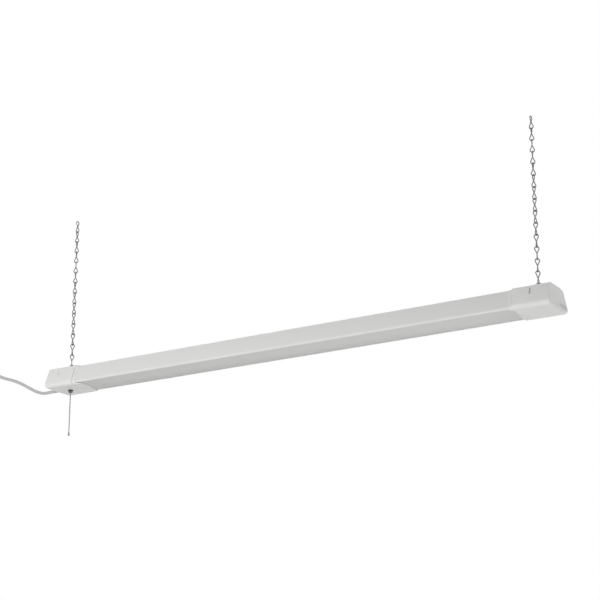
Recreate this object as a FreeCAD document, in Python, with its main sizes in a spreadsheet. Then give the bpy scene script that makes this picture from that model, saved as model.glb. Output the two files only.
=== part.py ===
"""Hanging shop light: a four-foot LED strip in a folded steel housing with moulded end caps,
held up by two single jack chains, with a pull-chain switch and a mains cord that ends in a plug.

Frame: millimetres. The origin is half way between the two points that the chains hang from.
+X runs along the light to its right-hand end, the front faces -Y, and +Z is up.
"""

import FreeCAD, Part
import Sketcher
import math
import os

V = FreeCAD.Vector
doc = FreeCAD.newDocument("HangingShopLight")

# ---------------------------------------------------------------------------------------------
# Driving dimensions, in millimetres and degrees
# ---------------------------------------------------------------------------------------------

DIMENSIONS = [
    # the light as a whole
    ("light_length", 1200, "from end face to end face"),
    ("fit_gap", 0.2, "between pieces that slot together"),
    ("run_gap", 0.3, "between pieces that move on each other"),
    # moulded end caps
    ("cap_length", 78.6, "along the light, without its tongue"),
    ("cap_height", 48, "from the flat top to the flat bottom"),
    ("cap_flat", 43, "width of the flat strip along the top"),
    ("cap_top_width", 68, "across the outer edges of the two shoulders"),
    ("cap_foot_width", 92, "across the bottom, before its edges are rounded"),
    ("shoulder_drop", 4, "the shoulders' outer edge below the flat top"),
    ("cap_wall", 2.8, "thickness of the moulding"),
    ("cap_round", 8.7, "radius of the long bottom edges"),
    ("end_round", 7, "radius of the bottom edge of the end face"),
    ("end_draft", 5, "the end face's top edge inwards of its bottom edge"),
    ("tongue_length", 14, "the bottom's tongue under the end of the diffuser"),
    ("tongue_root_width", 70, "of the tongue where it leaves the cap"),
    ("tongue_tip_width", 54, "of the tongue at its end"),
    ("tongue_tip_thick", 1, "of the tongue at its end"),
    ("slot_width", 4, "side slot, along the light"),
    ("slot_height", 12, "side slot, up and down"),
    ("slot_below_top", 8, "top of the side slot below the flat top"),
    ("slot_near", 31.5, "from the light's end: left cap's front slot, right cap's back slot"),
    ("slot_far", 41, "from the light's end: left cap's back slot, right cap's front slot"),
    ("window_width", 32, "cord window in the end face, across the light"),
    ("window_height", 8, "cord window, up and down"),
    ("window_above_foot", 7, "bottom edge of the cord window above the cap's bottom"),
    ("window_offset", 21, "centre of the cord window behind the middle"),
    ("blank_inset", 1.6, "the right cap's window blank behind the end face's bottom edge"),
    # folded steel housing
    ("sheet", 0.8, "thickness of the steel"),
    ("housing_round", 3.5, "outside radius of the housing's bottom edges"),
    ("housing_in_cap", 68, "how far the housing reaches into each cap"),
    ("lip_width", 8, "inward lip along each bottom edge"),
    # lens, tray and boards
    ("lens_wall", 1.5, "thickness of the diffuser"),
    ("lens_bulge", 0.9, "the middle of the diffuser below its edges"),
    ("lens_in_cap", 10, "how far the diffuser reaches into each cap"),
    ("lens_seat", 1.9, "the diffuser's edge outside the tray's foot"),
    ("lens_shelf", 0.5, "the start of the diffuser's slope inside the tray's foot"),
    ("lens_slope", 6, "width of that slope"),
    ("tray_inset", 1, "the tray's end inside the diffuser's end"),
    ("tray_sheet", 1, "thickness of the tray"),
    ("tray_depth", 18, "the tray's flat base above the diffuser"),
    ("tray_base_width", 60, "across the tray's flat base"),
    ("tray_foot_width", 70, "across the tray's open side"),
    ("board_end_gap", 12.4, "from each end of the tray to the boards"),
    ("board_width", 18, "across the light"),
    ("board_thick", 1.6, "each circuit board"),
    ("board_gap", 6, "between the two boards, end to end"),
    ("chips_per_board", 24, "light-emitting diodes on each board"),
    ("chip_length", 3.5, "along the light"),
    ("chip_width", 2.8, "across the light"),
    ("chip_thick", 0.8, "below the board"),
    ("board_screw_head", 5.4, "diameter of a board screw's head"),
    ("board_screw_shank", 2.4, "diameter of a board screw's thread"),
    ("board_screw_rise", 1.4, "height of a board screw's head"),
    ("board_screw_offset", 5, "a board screw behind the middle"),
    ("board_screw_shift", 5.5, "a board screw along from the nearest diode"),
    ("jumper_overlap", 14, "the jumper beyond the gap between the boards"),
    ("jumper_width", 6, "across the light"),
    ("jumper_thick", 2, "below the boards"),
    # hanging hardware
    ("ear_thick", 1.5, "steel hanger, across the light"),
    ("ear_width", 12, "steel hanger, along the light"),
    ("ear_hole", 7, "diameter of the hole for the last link"),
    ("hook_gap", 0.6, "between the last link and the top of that hole"),
    ("ear_rise", 5, "centre of that hole above the cap's flat top"),
    ("foot_length", 24, "hanger's foot, along the light"),
    ("foot_width", 16, "hanger's foot, across the light"),
    # jack chain
    ("chain_links", 14, "links in each chain"),
    ("wire_thick", 2.1, "diameter of the chain's wire"),
    ("loop_width", 10.4, "outside width of each loop of a link"),
    ("link_length", 24.5, "inside length of a link"),
    ("link_twist", 10, "turn of each link on the one above"),
    # pull switch
    ("switch_length", 26, "along the light"),
    ("switch_width", 18, "across the light"),
    ("switch_height", 18, "up and down, without its cover"),
    ("switch_wall", 1.5, "of the switch's case"),
    ("bush_thick", 9.2, "outside diameter of the threaded bush"),
    ("bush_reach", 5, "the bush below the cap's bottom"),
    ("nut_width", 14, "across the corners of the ring nut"),
    ("nut_thick", 2.5, "up and down"),
    ("plunger_thick", 3.4, "diameter of the plunger's rod"),
    ("knob_thick", 5.6, "diameter of the plunger's eye below the bush"),
    ("collar_thick", 10, "diameter of the plunger's collar"),
    ("collar_rise", 12, "underside of the collar above the cap's bottom"),
    ("collar_height", 1.5, "of the collar"),
    ("eye_reach", 1.5, "the plunger's eye below the bush"),
    ("spring_wire", 0.7, "thickness of the return spring's wire"),
    ("spring_coils", 4, "turns of the return spring"),
    ("spring_room", 0.8, "between the spring and the plunger's rod"),
    ("spring_end_gap", 0.1, "between the spring and what it pushes on"),
    # beaded pull chain
    ("bead_thick", 3.2, "diameter of a bead"),
    ("bead_pitch", 4.3, "from bead to bead"),
    ("bead_count", 20, "beads below the first one"),
    ("bead_wire", 1, "diameter of the wire between the beads"),
    ("pull_end_thick", 4.8, "diameter of the end piece"),
    ("pull_end_length", 6, "of the end piece"),
    # driver
    ("driver_length", 190, "along the light"),
    ("driver_width", 30, "across the light"),
    ("driver_height", 13, "up and down, with its lid"),
    ("driver_wall", 1, "of the driver's case"),
    ("driver_from_middle", 330, "centre of the driver left of the middle"),
    ("driver_board_gap", 1, "between the driver's board and the ends of its case"),
    ("core_length", 18, "transformer core, along the light"),
    ("core_width", 16, "transformer core, across the light"),
    ("core_height", 8, "transformer core, up and down"),
    ("core_shift", 10, "centre of the transformer right of the driver's middle"),
    ("winding_length", 10, "transformer winding, along the light"),
    ("winding_width", 20, "transformer winding, across the light"),
    ("winding_height", 6, "transformer winding, up and down"),
    ("can_thick", 8, "diameter of a capacitor"),
    ("can_length", 16, "of a capacitor"),
    ("can_offset", 4, "centre of the capacitors in front of the middle"),
    ("connector_thick", 9, "diameter of a wire connector's open end"),
    ("connector_tip", 5, "diameter of a wire connector's closed end"),
    ("connector_length", 18, "of a wire connector"),
    ("connector_pitch", 12, "between wire connectors"),
    ("connector_shift", 40, "the connectors' open ends left of the driver"),
    ("lead_thick", 1.8, "diameter of each wire inside"),
    # cord and plug
    ("cord_thick", 7, "diameter of the mains cord"),
    ("relief_root", 9, "diameter of the strain relief at the cap"),
    ("relief_tip", 7.8, "diameter of the strain relief at its end"),
    ("coil_radius", 42, "of the middle of the put-away turns"),
    ("coil_bundle", 8.5, "radius of the bundle of turns"),
    ("coil_turns", 4, "turns of cord in the coil"),
    ("tie_thick", 1, "thickness of the tie round the bundle"),
    ("tie_width", 5, "of the tie"),
    ("plug_thick", 27, "diameter of the plug's body"),
    ("plug_height", 20, "of the plug's body"),
    ("neck_tip", 8, "diameter of the plug's neck at the cord"),
    ("neck_root", 16.2, "diameter of the plug's neck at the body"),
    ("blade_thick", 1.5, "plug blade"),
    ("blade_width", 6.35, "plug blade"),
    ("blade_length", 17, "plug blade"),
    ("blade_spread", 12.7, "between the centres of the blades"),
    ("blade_offset", 3, "the blades in front of the plug's middle"),
    ("pin_thick", 4.8, "diameter of the ground pin"),
    ("pin_length", 19, "ground pin"),
    ("pin_offset", 6, "the ground pin behind the plug's middle"),
    ("plug_below_top", 20, "the plug's face below the hanging points"),
    ("screw_head", 7, "diameter of a cap screw's head"),
    ("screw_head_height", 2, "of a cap screw's head"),
    ("screw_shank", 3, "diameter of a cap screw's thread"),
    ("screw_reach", 8, "a cap screw below the cap's flat top"),
]

sizes = doc.addObject("Spreadsheet::Sheet", "Dim")
for row, (alias, number, meaning) in enumerate(DIMENSIONS, start=1):
    sizes.set(f"A{row}", alias)
    sizes.set(f"B{row}", str(number))
    sizes.setAlias(f"B{row}", alias)
    sizes.set(f"C{row}", meaning)
doc.recompute()


def number(expression):
    """The value of an expression over the sheet, as a plain float."""
    result = sizes.evalExpression(expression)
    return float(getattr(result, "Value", result))


# ---------------------------------------------------------------------------------------------
# Places that several pieces share, as expressions over the sheet
# ---------------------------------------------------------------------------------------------

LINK_STEP = "(Dim.link_length - Dim.run_gap)"
HOOK_LEVEL = f"(-Dim.chain_links * {LINK_STEP} - Dim.run_gap + Dim.hook_gap)"
TOP = f"({HOOK_LEVEL} - Dim.ear_hole / 2 - Dim.ear_rise)"
FOOT = f"({TOP} - Dim.cap_height)"
END = "(Dim.light_length / 2)"
CAP_MIDDLE = f"({END} - Dim.cap_length / 2)"
HOUSING_INSET = "(Dim.cap_wall + Dim.fit_gap)"
HOUSING_HALF = f"({END} - Dim.cap_length + Dim.housing_in_cap)"
LENS_HALF = f"({END} - Dim.cap_length + Dim.lens_in_cap)"
ROOF = f"({TOP} - {HOUSING_INSET} - Dim.sheet)"
LIP_TOP = f"({FOOT} + {HOUSING_INSET} + Dim.sheet)"
LENS_TOP = f"({LIP_TOP} + Dim.lens_wall)"
TRAY_TOP = f"({LENS_TOP} + Dim.tray_depth)"
BOARD_TOP = f"({TRAY_TOP} - Dim.tray_sheet)"
BOARD_LENGTH = f"({LENS_HALF} - Dim.tray_inset - Dim.board_end_gap - Dim.board_gap / 2)"
SWITCH_X = f"(-{CAP_MIDDLE})"
SWITCH_Y = "0"
SWITCH_FLOOR = f"({FOOT} + Dim.cap_wall)"


# ---------------------------------------------------------------------------------------------
# Small helpers: each makes one object whose sizes are bound to the sheet
# ---------------------------------------------------------------------------------------------

TO_X = FreeCAD.Rotation(V(0, 1, 0), 90)
TO_Y = FreeCAD.Rotation(V(1, 0, 0), -90)


def place(obj, corner, rotation=None):
    if rotation is not None:
        obj.Placement = FreeCAD.Placement(V(0, 0, 0), rotation)
    for axis, expression in zip("xyz", corner):
        obj.setExpression(f"Placement.Base.{axis}", expression)
    return obj


def block(name, size, corner):
    """A box, from its low corner."""
    obj = doc.addObject("Part::Box", name)
    for side, expression in zip(("Length", "Width", "Height"), size):
        obj.setExpression(side, expression)
    return place(obj, corner)


def middle_block(name, size, middle):
    """A box around its middle."""
    return block(name, size, [f"{m} - ({side}) / 2" for m, side in zip(middle, size)])


def rod(name, thick, length, base, rotation=None):
    """A cylinder of that diameter, from the centre of its first end."""
    obj = doc.addObject("Part::Cylinder", name)
    obj.setExpression("Radius", f"({thick}) / 2")
    obj.setExpression("Height", length)
    return place(obj, base, rotation)


def taper(name, first, last, length, base, rotation=None):
    """A cone frustum between two diameters."""
    obj = doc.addObject("Part::Cone", name)
    obj.setExpression("Radius1", f"({first}) / 2")
    obj.setExpression("Radius2", f"({last}) / 2")
    obj.setExpression("Height", length)
    return place(obj, base, rotation)


def fused(name, parts):
    obj = doc.addObject("Part::MultiFuse", name)
    obj.Shapes = parts
    return obj


def cut(name, base, tools):
    obj = doc.addObject("Part::Cut", name)
    obj.Base = base
    obj.Tool = tools[0] if len(tools) == 1 else fused(f"{name}_cuts", tools)
    return obj


def group(name, parts):
    """Separate solids that share a node."""
    obj = doc.addObject("Part::Compound", name)
    obj.Links = parts
    return obj


def solid(name, shape):
    """A shape made with Part's own functions, where no parametric object fits."""
    obj = doc.addObject("Part::Feature", name)
    obj.Shape = shape
    return obj


PIECES = {}


def piece(name, obj):
    obj.Label = name
    PIECES[name] = obj
    return obj


# ---------------------------------------------------------------------------------------------
# The outline across the light that the caps and the housing share
# ---------------------------------------------------------------------------------------------

SHOULDER_SLOPE = "(Dim.shoulder_drop / ((Dim.cap_top_width - Dim.cap_flat) / 2))"
SIDE_SLOPE = "((Dim.cap_foot_width - Dim.cap_top_width) / 2 / (Dim.cap_height - Dim.shoulder_drop))"
SHOULDER_STRETCH = f"sqrt(1 + {SHOULDER_SLOPE} ^ 2)"
SIDE_STRETCH = f"sqrt(1 + {SIDE_SLOPE} ^ 2)"


def outline_corners(inset):
    """The right-hand corners of the outline, moved inwards by inset: flat top, shoulder, foot."""
    flat_y = f"(Dim.cap_flat / 2 - {inset} * ({SHOULDER_STRETCH} - 1) / {SHOULDER_SLOPE})"
    shoulder_y = (
        f"((Dim.cap_top_width / 2 - {SIDE_SLOPE} * Dim.shoulder_drop - {inset} * {SIDE_STRETCH}"
        f" + {SIDE_SLOPE} * ({inset} * {SHOULDER_STRETCH} - {SHOULDER_SLOPE} * Dim.cap_flat / 2))"
        f" / (1 - {SHOULDER_SLOPE} * {SIDE_SLOPE}))"
    )
    shoulder_z = f"(-{SHOULDER_SLOPE} * ({shoulder_y} - Dim.cap_flat / 2) - {inset} * {SHOULDER_STRETCH})"
    foot_z = f"(-Dim.cap_height + {inset})"
    foot_y = f"(Dim.cap_top_width / 2 + {SIDE_SLOPE} * (-{foot_z} - Dim.shoulder_drop) - {inset} * {SIDE_STRETCH})"
    return [(flat_y, f"(-{inset})"), (shoulder_y, shoulder_z), (foot_y, foot_z)]


def profile(name, corners, start):
    """A closed sketch across the light through those corners, standing at X = start."""
    sketch = doc.addObject("Sketcher::SketchObject", name)
    across = FreeCAD.Rotation(V(0, 1, 0), V(0, 0, 1), V(1, 0, 0), "ZYX")
    sketch.Placement = FreeCAD.Placement(V(0, 0, 0), across)
    points = [V(number(y), number(z), 0) for y, z in corners]
    count = len(points)
    for i in range(count):
        sketch.addGeometry(Part.LineSegment(points[i], points[(i + 1) % count]), False)
    for i in range(count):
        sketch.addConstraint(Sketcher.Constraint("Coincident", i, 2, (i + 1) % count, 1))
    for i, (y, z) in enumerate(corners):
        for kind, expression, value in (("DistanceX", y, points[i].x), ("DistanceY", z, points[i].y)):
            index = sketch.addConstraint(Sketcher.Constraint(kind, -1, 1, i, 1, value))
            sketch.setExpression(f"Constraints[{index}]", expression)
    sketch.setExpression("Placement.Base.x", start)
    sketch.setExpression("Placement.Base.z", TOP)
    return sketch


def both_sides(corners):
    """Right-hand corners, then their mirror images back to the start."""
    return corners + [(f"(-{y})", z) for y, z in reversed(corners)]


def extruded(name, corners, start, length):
    """A bar along X with that profile, in the light's own height."""
    obj = doc.addObject("Part::Extrusion", name)
    obj.Base = profile(f"{name}_profile", corners, start)
    obj.DirMode = "Custom"
    obj.Dir = V(1, 0, 0)
    obj.Solid = True
    obj.setExpression("LengthFwd", length)
    return obj


def rounded(name, base, choose):
    """A fillet on the edges for which choose(edge) gives a radius."""
    doc.recompute()
    obj = doc.addObject("Part::Fillet", name)
    obj.Base = base
    edges = [(i, choose(edge)) for i, edge in enumerate(base.Shape.Edges, start=1)]
    obj.Edges = [(i, radius, radius) for i, radius in edges if radius]
    return obj


BEYOND = "(Dim.cap_height + Dim.cap_foot_width)"


def drafted(name, bar, sign, inset):
    """The bar with its outer end leaning inwards towards the top: a big block that leans the
    same way takes the end off, through the end face's bottom edge moved inwards by inset."""
    tilt = "atan(Dim.end_draft / Dim.cap_height)"
    wedge = block(f"{name}_wedge", ["Dim.cap_height", BEYOND, BEYOND], ["0", f"-{BEYOND} / 2", "0"])
    wedge.Placement = FreeCAD.Placement(wedge.Placement.Base, FreeCAD.Rotation(V(0, 1, 0), 0))
    wedge.setExpression("Placement.Rotation.Angle", f"{'-' if sign > 0 else ''}{tilt}")
    if sign > 0:
        place(wedge, [f"{END} - {inset}", f"-{BEYOND} / 2", FOOT])
    else:
        place(wedge, [f"-{END} + {inset} - Dim.cap_height * cos({tilt})", f"-{BEYOND} / 2",
                      f"{FOOT} + Dim.cap_height * sin({tilt})"])
    return cut(name, bar, [wedge])


def section_bar(name, inset, corner, start, length, end_x=None, lean=None):
    """A bar with the light's outline, its long bottom edges rounded to corner, and the one at
    end_x to the end's own radius.
    With lean, which is the side's sign, its outer end leans inwards towards the top."""
    bar = extruded(f"{name}_square", both_sides(outline_corners(inset)), start, length)
    if lean is not None:
        bar = drafted(f"{name}_drafted", bar, lean, inset)
    foot = number(FOOT) + number(inset)
    long_round = number(corner)

    def radius(edge):
        box = edge.BoundBox
        low = abs(box.ZMax - foot) < 0.01
        if low and box.XLength > 1:
            return long_round
        if low and end_x is not None and abs(box.XMin - end_x) < 0.01:
            return number("Dim.end_round")
        return None

    return rounded(name, bar, radius)


# ---------------------------------------------------------------------------------------------
# Housing, diffuser, tray and boards
# ---------------------------------------------------------------------------------------------


def housing_channel():
    """Folded steel: flat top, shoulders, flared sides and an inward lip along each bottom edge."""
    length = f"2 * {HOUSING_HALF}"
    start = f"(-{HOUSING_HALF})"
    outside = section_bar("housing_outside", HOUSING_INSET, "Dim.housing_round", start, length)
    inside = section_bar("housing_inside", f"({HOUSING_INSET} + Dim.sheet)", "Dim.housing_round - Dim.sheet",
                         start, length)
    mouth_width = "(Dim.cap_foot_width - 2 * (Dim.cap_wall + Dim.fit_gap) - 2 * Dim.lip_width)"
    mouth = block(
        "housing_mouth",
        [length, mouth_width, "3 * Dim.sheet"],
        [start, f"-{mouth_width} / 2", f"{LIP_TOP} - 2 * Dim.sheet"],
    )
    tools = [inside, mouth]
    for side, sign in (("left", "-"), ("right", "")):
        tools.append(
            middle_block(
                f"housing_ear_slot_{side}",
                ["Dim.ear_width + 2 * Dim.fit_gap", "Dim.ear_thick + 2 * Dim.fit_gap", "4 * Dim.sheet"],
                [f"{sign}{CAP_MIDDLE}", "0", f"{ROOF} + Dim.sheet / 2"],
            )
        )
        for end, shift in (("outer", "+"), ("inner", "-")):
            x = f"{sign}({CAP_MIDDLE} {shift} Dim.foot_length)"
            tools.append(
                rod(f"housing_screw_hole_{side}_{end}", "Dim.screw_shank + 2 * Dim.fit_gap",
                    "4 * Dim.sheet", [x, "0", f"{ROOF} - Dim.sheet"])
            )
    return cut("housing_channel_cut", outside, tools)


def diffuser_lens():
    """A long curved strip of milky plastic; its edges lie on the housing's lips."""
    half = "(Dim.tray_foot_width / 2 + Dim.lens_seat)"
    level = f"({LIP_TOP} - {TOP})"
    shelf = "(Dim.tray_foot_width / 2 - Dim.lens_shelf)"
    corners = [
        (half, f"({level} + Dim.lens_wall)"),
        (half, level),
        (shelf, level),
        (f"({shelf} - Dim.lens_slope)", f"({level} - Dim.lens_bulge)"),
    ]
    return extruded("diffuser_lens_bar", both_sides(corners), f"(-{LENS_HALF})", f"2 * {LENS_HALF}")


def led_tray():
    """A folded pan above the diffuser that carries the boards and covers the wiring."""
    base, foot, sheet = "(Dim.tray_base_width / 2)", "(Dim.tray_foot_width / 2)", "Dim.tray_sheet"
    high = f"({TRAY_TOP} - {TOP})"
    low = f"({LENS_TOP} - {TOP})"
    outer = [(base, high), (foot, low)]
    inner = [(f"({foot} - {sheet})", low), (f"({base} - {sheet})", f"({high} - {sheet})")]
    half_length = f"({LENS_HALF} - Dim.tray_inset)"
    return extruded("led_tray_bar", both_sides(outer + inner), f"(-{half_length})", f"2 * {half_length}")


def boards():
    """Two circuit boards end to end under the tray, their diodes, the jumper between them and
    the screws that hold them."""
    step = f"({BOARD_LENGTH} / Dim.chips_per_board)"
    chips = int(number("Dim.chips_per_board"))
    screws = []
    for side, sign in (("left", -1), ("right", 1)):
        low = "(Dim.board_gap / 2)" if sign > 0 else f"(-Dim.board_gap / 2 - {BOARD_LENGTH})"
        board = block(
            f"board_{side}",
            [BOARD_LENGTH, "Dim.board_width", "Dim.board_thick"],
            [low, "-Dim.board_width / 2", f"{BOARD_TOP} - Dim.board_thick"],
        )
        holes = []
        for end, diode in (("a", 0), ("b", chips // 2), ("c", chips - 1)):
            x = f"({low} + {step} * {diode} + {step} / 2 + Dim.board_screw_shift)"
            y = "Dim.board_screw_offset"
            under = f"{BOARD_TOP} - Dim.board_thick - Dim.board_screw_rise"
            holes.append(
                rod(f"board_hole_{side}_{end}", "Dim.board_screw_shank + 2 * Dim.fit_gap",
                    "3 * Dim.board_thick", [x, y, f"{BOARD_TOP} - 2 * Dim.board_thick"])
            )
            head = rod(f"board_screw_head_{side}_{end}", "Dim.board_screw_head",
                       "Dim.board_screw_rise", [x, y, under])
            shank = rod(f"board_screw_shank_{side}_{end}", "Dim.board_screw_shank",
                        "Dim.board_thick + Dim.board_screw_rise", [x, y, under])
            screws.append(fused(f"board_screw_{side}_{end}", [head, shank]))
        piece(f"led_board_{side}", cut(f"led_board_{side}_cut", board, holes))
        row = [
            middle_block(
                f"chip_{side}_{i + 1}",
                ["Dim.chip_length", "Dim.chip_width", "Dim.chip_thick"],
                [f"({low} + {step} * {i} + {step} / 2)", "0",
                 f"{BOARD_TOP} - Dim.board_thick - Dim.chip_thick / 2"],
            )
            for i in range(chips)
        ]
        piece(f"led_chips_{side}", group(f"led_chips_{side}_row", row))
    piece("board_screws", group("board_screws_all", screws))
    jumper = middle_block(
        "jumper_block",
        ["Dim.board_gap + Dim.jumper_overlap", "Dim.jumper_width", "Dim.jumper_thick"],
        ["0", "-Dim.board_screw_offset", f"{BOARD_TOP} - Dim.board_thick - Dim.jumper_thick / 2"],
    )
    piece("board_jumper", jumper)


# ---------------------------------------------------------------------------------------------
# End caps, hangers and their screws
# ---------------------------------------------------------------------------------------------


def end_cap(side, sign):
    """A moulded shell, open towards the middle, with a slot in its top for the hanger, a slot in
    each side, and a cord window in its end face."""
    minus = "-" if sign < 0 else ""
    low = f"(-{END})" if sign < 0 else f"({END} - Dim.cap_length)"
    hollow_low = f"(-{END} + Dim.cap_wall)" if sign < 0 else f"({END} - Dim.cap_length - Dim.cap_wall)"
    outside = section_bar(f"{side}_cap_outside", "0", "Dim.cap_round", low, "Dim.cap_length", sign * number(END), sign)
    hollow = section_bar(f"{side}_cap_hollow", "Dim.cap_wall", "Dim.housing_round + Dim.fit_gap", hollow_low,
                         "Dim.cap_length", None, sign)
    tools = [hollow]
    tools.append(
        middle_block(
            f"{side}_cap_ear_slot",
            ["Dim.ear_width + 2 * Dim.run_gap", "Dim.ear_thick + 2 * Dim.run_gap", "4 * Dim.cap_wall"],
            [f"{minus}{CAP_MIDDLE}", "0", TOP],
        )
    )
    front, back = ("near", "far") if sign < 0 else ("far", "near")
    for face, shift, y in (("front", front, f"-{BEYOND} / 2"), ("back", back, "0")):
        tools.append(
            block(
                f"{side}_cap_{face}_slot",
                ["Dim.slot_width", f"{BEYOND} / 2", "Dim.slot_height"],
                [f"{minus}({END} - Dim.slot_{shift}) - Dim.slot_width / 2", y,
                 f"{TOP} - Dim.slot_below_top - Dim.slot_height"],
            )
        )
    tools.append(
        middle_block(
            f"{side}_cap_window",
            ["4 * Dim.cap_wall", "Dim.window_width", "Dim.window_height"],
            [f"{minus}{END}", "Dim.window_offset", f"{FOOT} + Dim.window_above_foot + Dim.window_height / 2"],
        )
    )
    for end, shift in (("outer", "+"), ("inner", "-")):
        x = f"{minus}({CAP_MIDDLE} {shift} Dim.foot_length)"
        tools.append(
            rod(f"{side}_cap_screw_hole_{end}", "Dim.screw_shank + 2 * Dim.fit_gap",
                "4 * Dim.cap_wall", [x, "0", f"{TOP} - 2 * Dim.cap_wall"])
        )
    if sign < 0:
        tools.append(
            rod("cap_switch_hole", "Dim.bush_thick + 2 * Dim.fit_gap", "4 * Dim.cap_wall",
                [SWITCH_X, SWITCH_Y, f"{FOOT} - 2 * Dim.cap_wall"])
        )
    shell = cut(f"{side}_end_cap_cut", outside, tools)
    return fused(f"{side}_end_cap_whole", [shell, tongue(side, sign)])


def tongue(side, sign):
    """The cap's bottom carried on under the diffuser's end: narrower and thinner to its tip."""
    obj = doc.addObject("Part::Wedge", f"{side}_cap_tongue")
    for limit, expression in (
        ("Xmin", "-Dim.tongue_root_width / 2"), ("Xmax", "Dim.tongue_root_width / 2"),
        ("X2min", "-Dim.tongue_tip_width / 2"), ("X2max", "Dim.tongue_tip_width / 2"),
        ("Ymin", "-Dim.cap_wall"), ("Ymax", "Dim.tongue_length"),
        ("Zmin", "0"), ("Zmax", "Dim.cap_wall"),
        ("Z2min", "Dim.cap_wall - Dim.tongue_tip_thick"), ("Z2max", "Dim.cap_wall"),
    ):
        obj.setExpression(limit, expression)
    inner_end = f"{'-' if sign < 0 else ''}({END} - Dim.cap_length)"
    return place(obj, [inner_end, "0", FOOT], FreeCAD.Rotation(V(0, 0, 1), 90 * sign))


def cap_screws(side, minus):
    """Two pan-head screws that hold a cap down on the housing's top."""
    made = []
    for end, shift in (("outer", "+"), ("inner", "-")):
        x = f"{minus}({CAP_MIDDLE} {shift} Dim.foot_length)"
        head = rod(f"{side}_screw_head_{end}", "Dim.screw_head", "Dim.screw_head_height", [x, "0", TOP])
        shank = rod(f"{side}_screw_shank_{end}", "Dim.screw_shank",
                    "Dim.screw_reach + Dim.screw_head_height", [x, "0", f"{TOP} - Dim.screw_reach"])
        made.append(fused(f"{side}_screw_{end}", [head, shank]))
    return group(f"{side}_cap_screw_pair", made)


def hanger(side, minus):
    """An angle of steel: its foot is welded under the housing's top, and its ear stands up
    through the slots with a hole for the chain's last link. The right one is turned round."""
    x = f"{minus}{CAP_MIDDLE}"
    hole_level = f"({TOP} + Dim.ear_rise)"
    foot_y = "Dim.ear_thick / 2 - Dim.foot_width" if minus == "" else "-Dim.ear_thick / 2"
    foot = block(
        f"{side}_hanger_foot",
        ["Dim.foot_length", "Dim.foot_width", "Dim.ear_thick"],
        [f"{x} - Dim.foot_length / 2", foot_y, f"{ROOF} - Dim.ear_thick"],
    )
    ear = block(
        f"{side}_hanger_ear",
        ["Dim.ear_width", "Dim.ear_thick", f"({hole_level}) - ({ROOF}) + Dim.ear_thick"],
        [f"{x} - Dim.ear_width / 2", "-Dim.ear_thick / 2", f"{ROOF} - Dim.ear_thick"],
    )
    crown = rod(f"{side}_hanger_crown", "Dim.ear_width", "Dim.ear_thick",
                [x, "-Dim.ear_thick / 2", hole_level], TO_Y)
    hole = rod(f"{side}_hanger_hole", "Dim.ear_hole", "3 * Dim.ear_thick",
               [x, "-1.5 * Dim.ear_thick", hole_level], TO_Y)
    return cut(f"{side}_hanger_cut", fused(f"{side}_hanger_blank", [foot, ear, crown]), [hole])


# ---------------------------------------------------------------------------------------------
# Jack chain: each link is one wire bent into two loops that stand across each other
# ---------------------------------------------------------------------------------------------

ARC_STEPS = 8
WIRE_SIDES = 6


def ring_path(reach, radius, waist):
    """Corners of a teardrop loop in its own plane: it starts and ends at the waist, and its
    round end is reach away. The corners stand outside the circle so that its sides touch it."""
    centre = reach - radius
    lean = math.asin(radius / centre) if centre > radius else math.pi / 4
    sweep = math.pi + 2 * lean
    step = sweep / ARC_STEPS
    outer = radius / math.cos(step / 2)
    angles = [-lean + step * (i + 0.5) for i in range(ARC_STEPS)]
    arc = [(outer * math.cos(a), centre + outer * math.sin(a)) for a in angles]
    return [(-waist, 0.0), (waist, 0.0)] + arc


def faceted_ring(path, wire_radius):
    """A closed loop of wire with a six-sided section, mitred at each corner of its path."""
    count = len(path)
    rings = []
    for i in range(count):
        before, here, after = path[i - 1], path[i], path[(i + 1) % count]
        first = V(here[0] - before[0], here[1] - before[1], 0).normalize()
        second = V(after[0] - here[0], after[1] - here[1], 0).normalize()
        along = (first + second).normalize()
        outward = V(along.y, -along.x, 0)
        stretch = 1 / max(0.3, along.dot(first))
        ring = []
        for side in range(WIRE_SIDES):
            angle = 2 * math.pi * side / WIRE_SIDES
            away = outward * (wire_radius * math.cos(angle) * stretch)
            ring.append(V(here[0] + away.x, wire_radius * math.sin(angle), here[1] + away.y))
        rings.append(ring)
    faces = []
    for i in range(count):
        near, far = rings[i], rings[(i + 1) % count]
        for side in range(WIRE_SIDES):
            following = (side + 1) % WIRE_SIDES
            corners = [near[side], near[following], far[following], far[side], near[side]]
            faces.append(Part.Face(Part.makePolygon(corners)))
    return Part.makeSolid(Part.makeShell(faces))


def link_shape():
    """One link with its waist at the origin, the upper loop in the XZ plane."""
    wire = number("Dim.wire_thick") / 2
    reach = number("Dim.link_length") / 2 + wire
    radius = number("Dim.loop_width") / 2 - wire
    loop = faceted_ring(ring_path(reach, radius, wire), wire)
    upper = loop.copy()
    lower = loop.copy()
    lower.rotate(V(0, 0, 0), V(1, 0, 0), 180)
    lower.rotate(V(0, 0, 0), V(0, 0, 1), 90)
    return upper.fuse(lower).removeSplitter()


def chain_links(x):
    """All links of one chain, from the top down, as separate solids."""
    step = number(LINK_STEP)
    twist = number("Dim.link_twist")
    inside = number("Dim.link_length")
    made = []
    shape = link_shape()
    for i in range(int(number("Dim.chain_links"))):
        link = shape.copy()
        link.rotate(V(0, 0, 0), V(0, 0, 1), 90 + twist * i)
        link.translate(V(number(x), 0, -i * step - inside / 2))
        made.append(link)
    return made


def chains():
    for side, x in (("left", f"(-{CAP_MIDDLE})"), ("right", CAP_MIDDLE)):
        links = chain_links(x)
        piece(f"{side}_top_link", solid(f"{side}_link_first", links[0]))
        piece(f"{side}_second_link", solid(f"{side}_link_second", links[1]))
        piece(f"{side}_chain", solid(f"{side}_links_between", Part.makeCompound(links[2:-1])))
        piece(f"{side}_bottom_link", solid(f"{side}_link_last", links[-1]))


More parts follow.
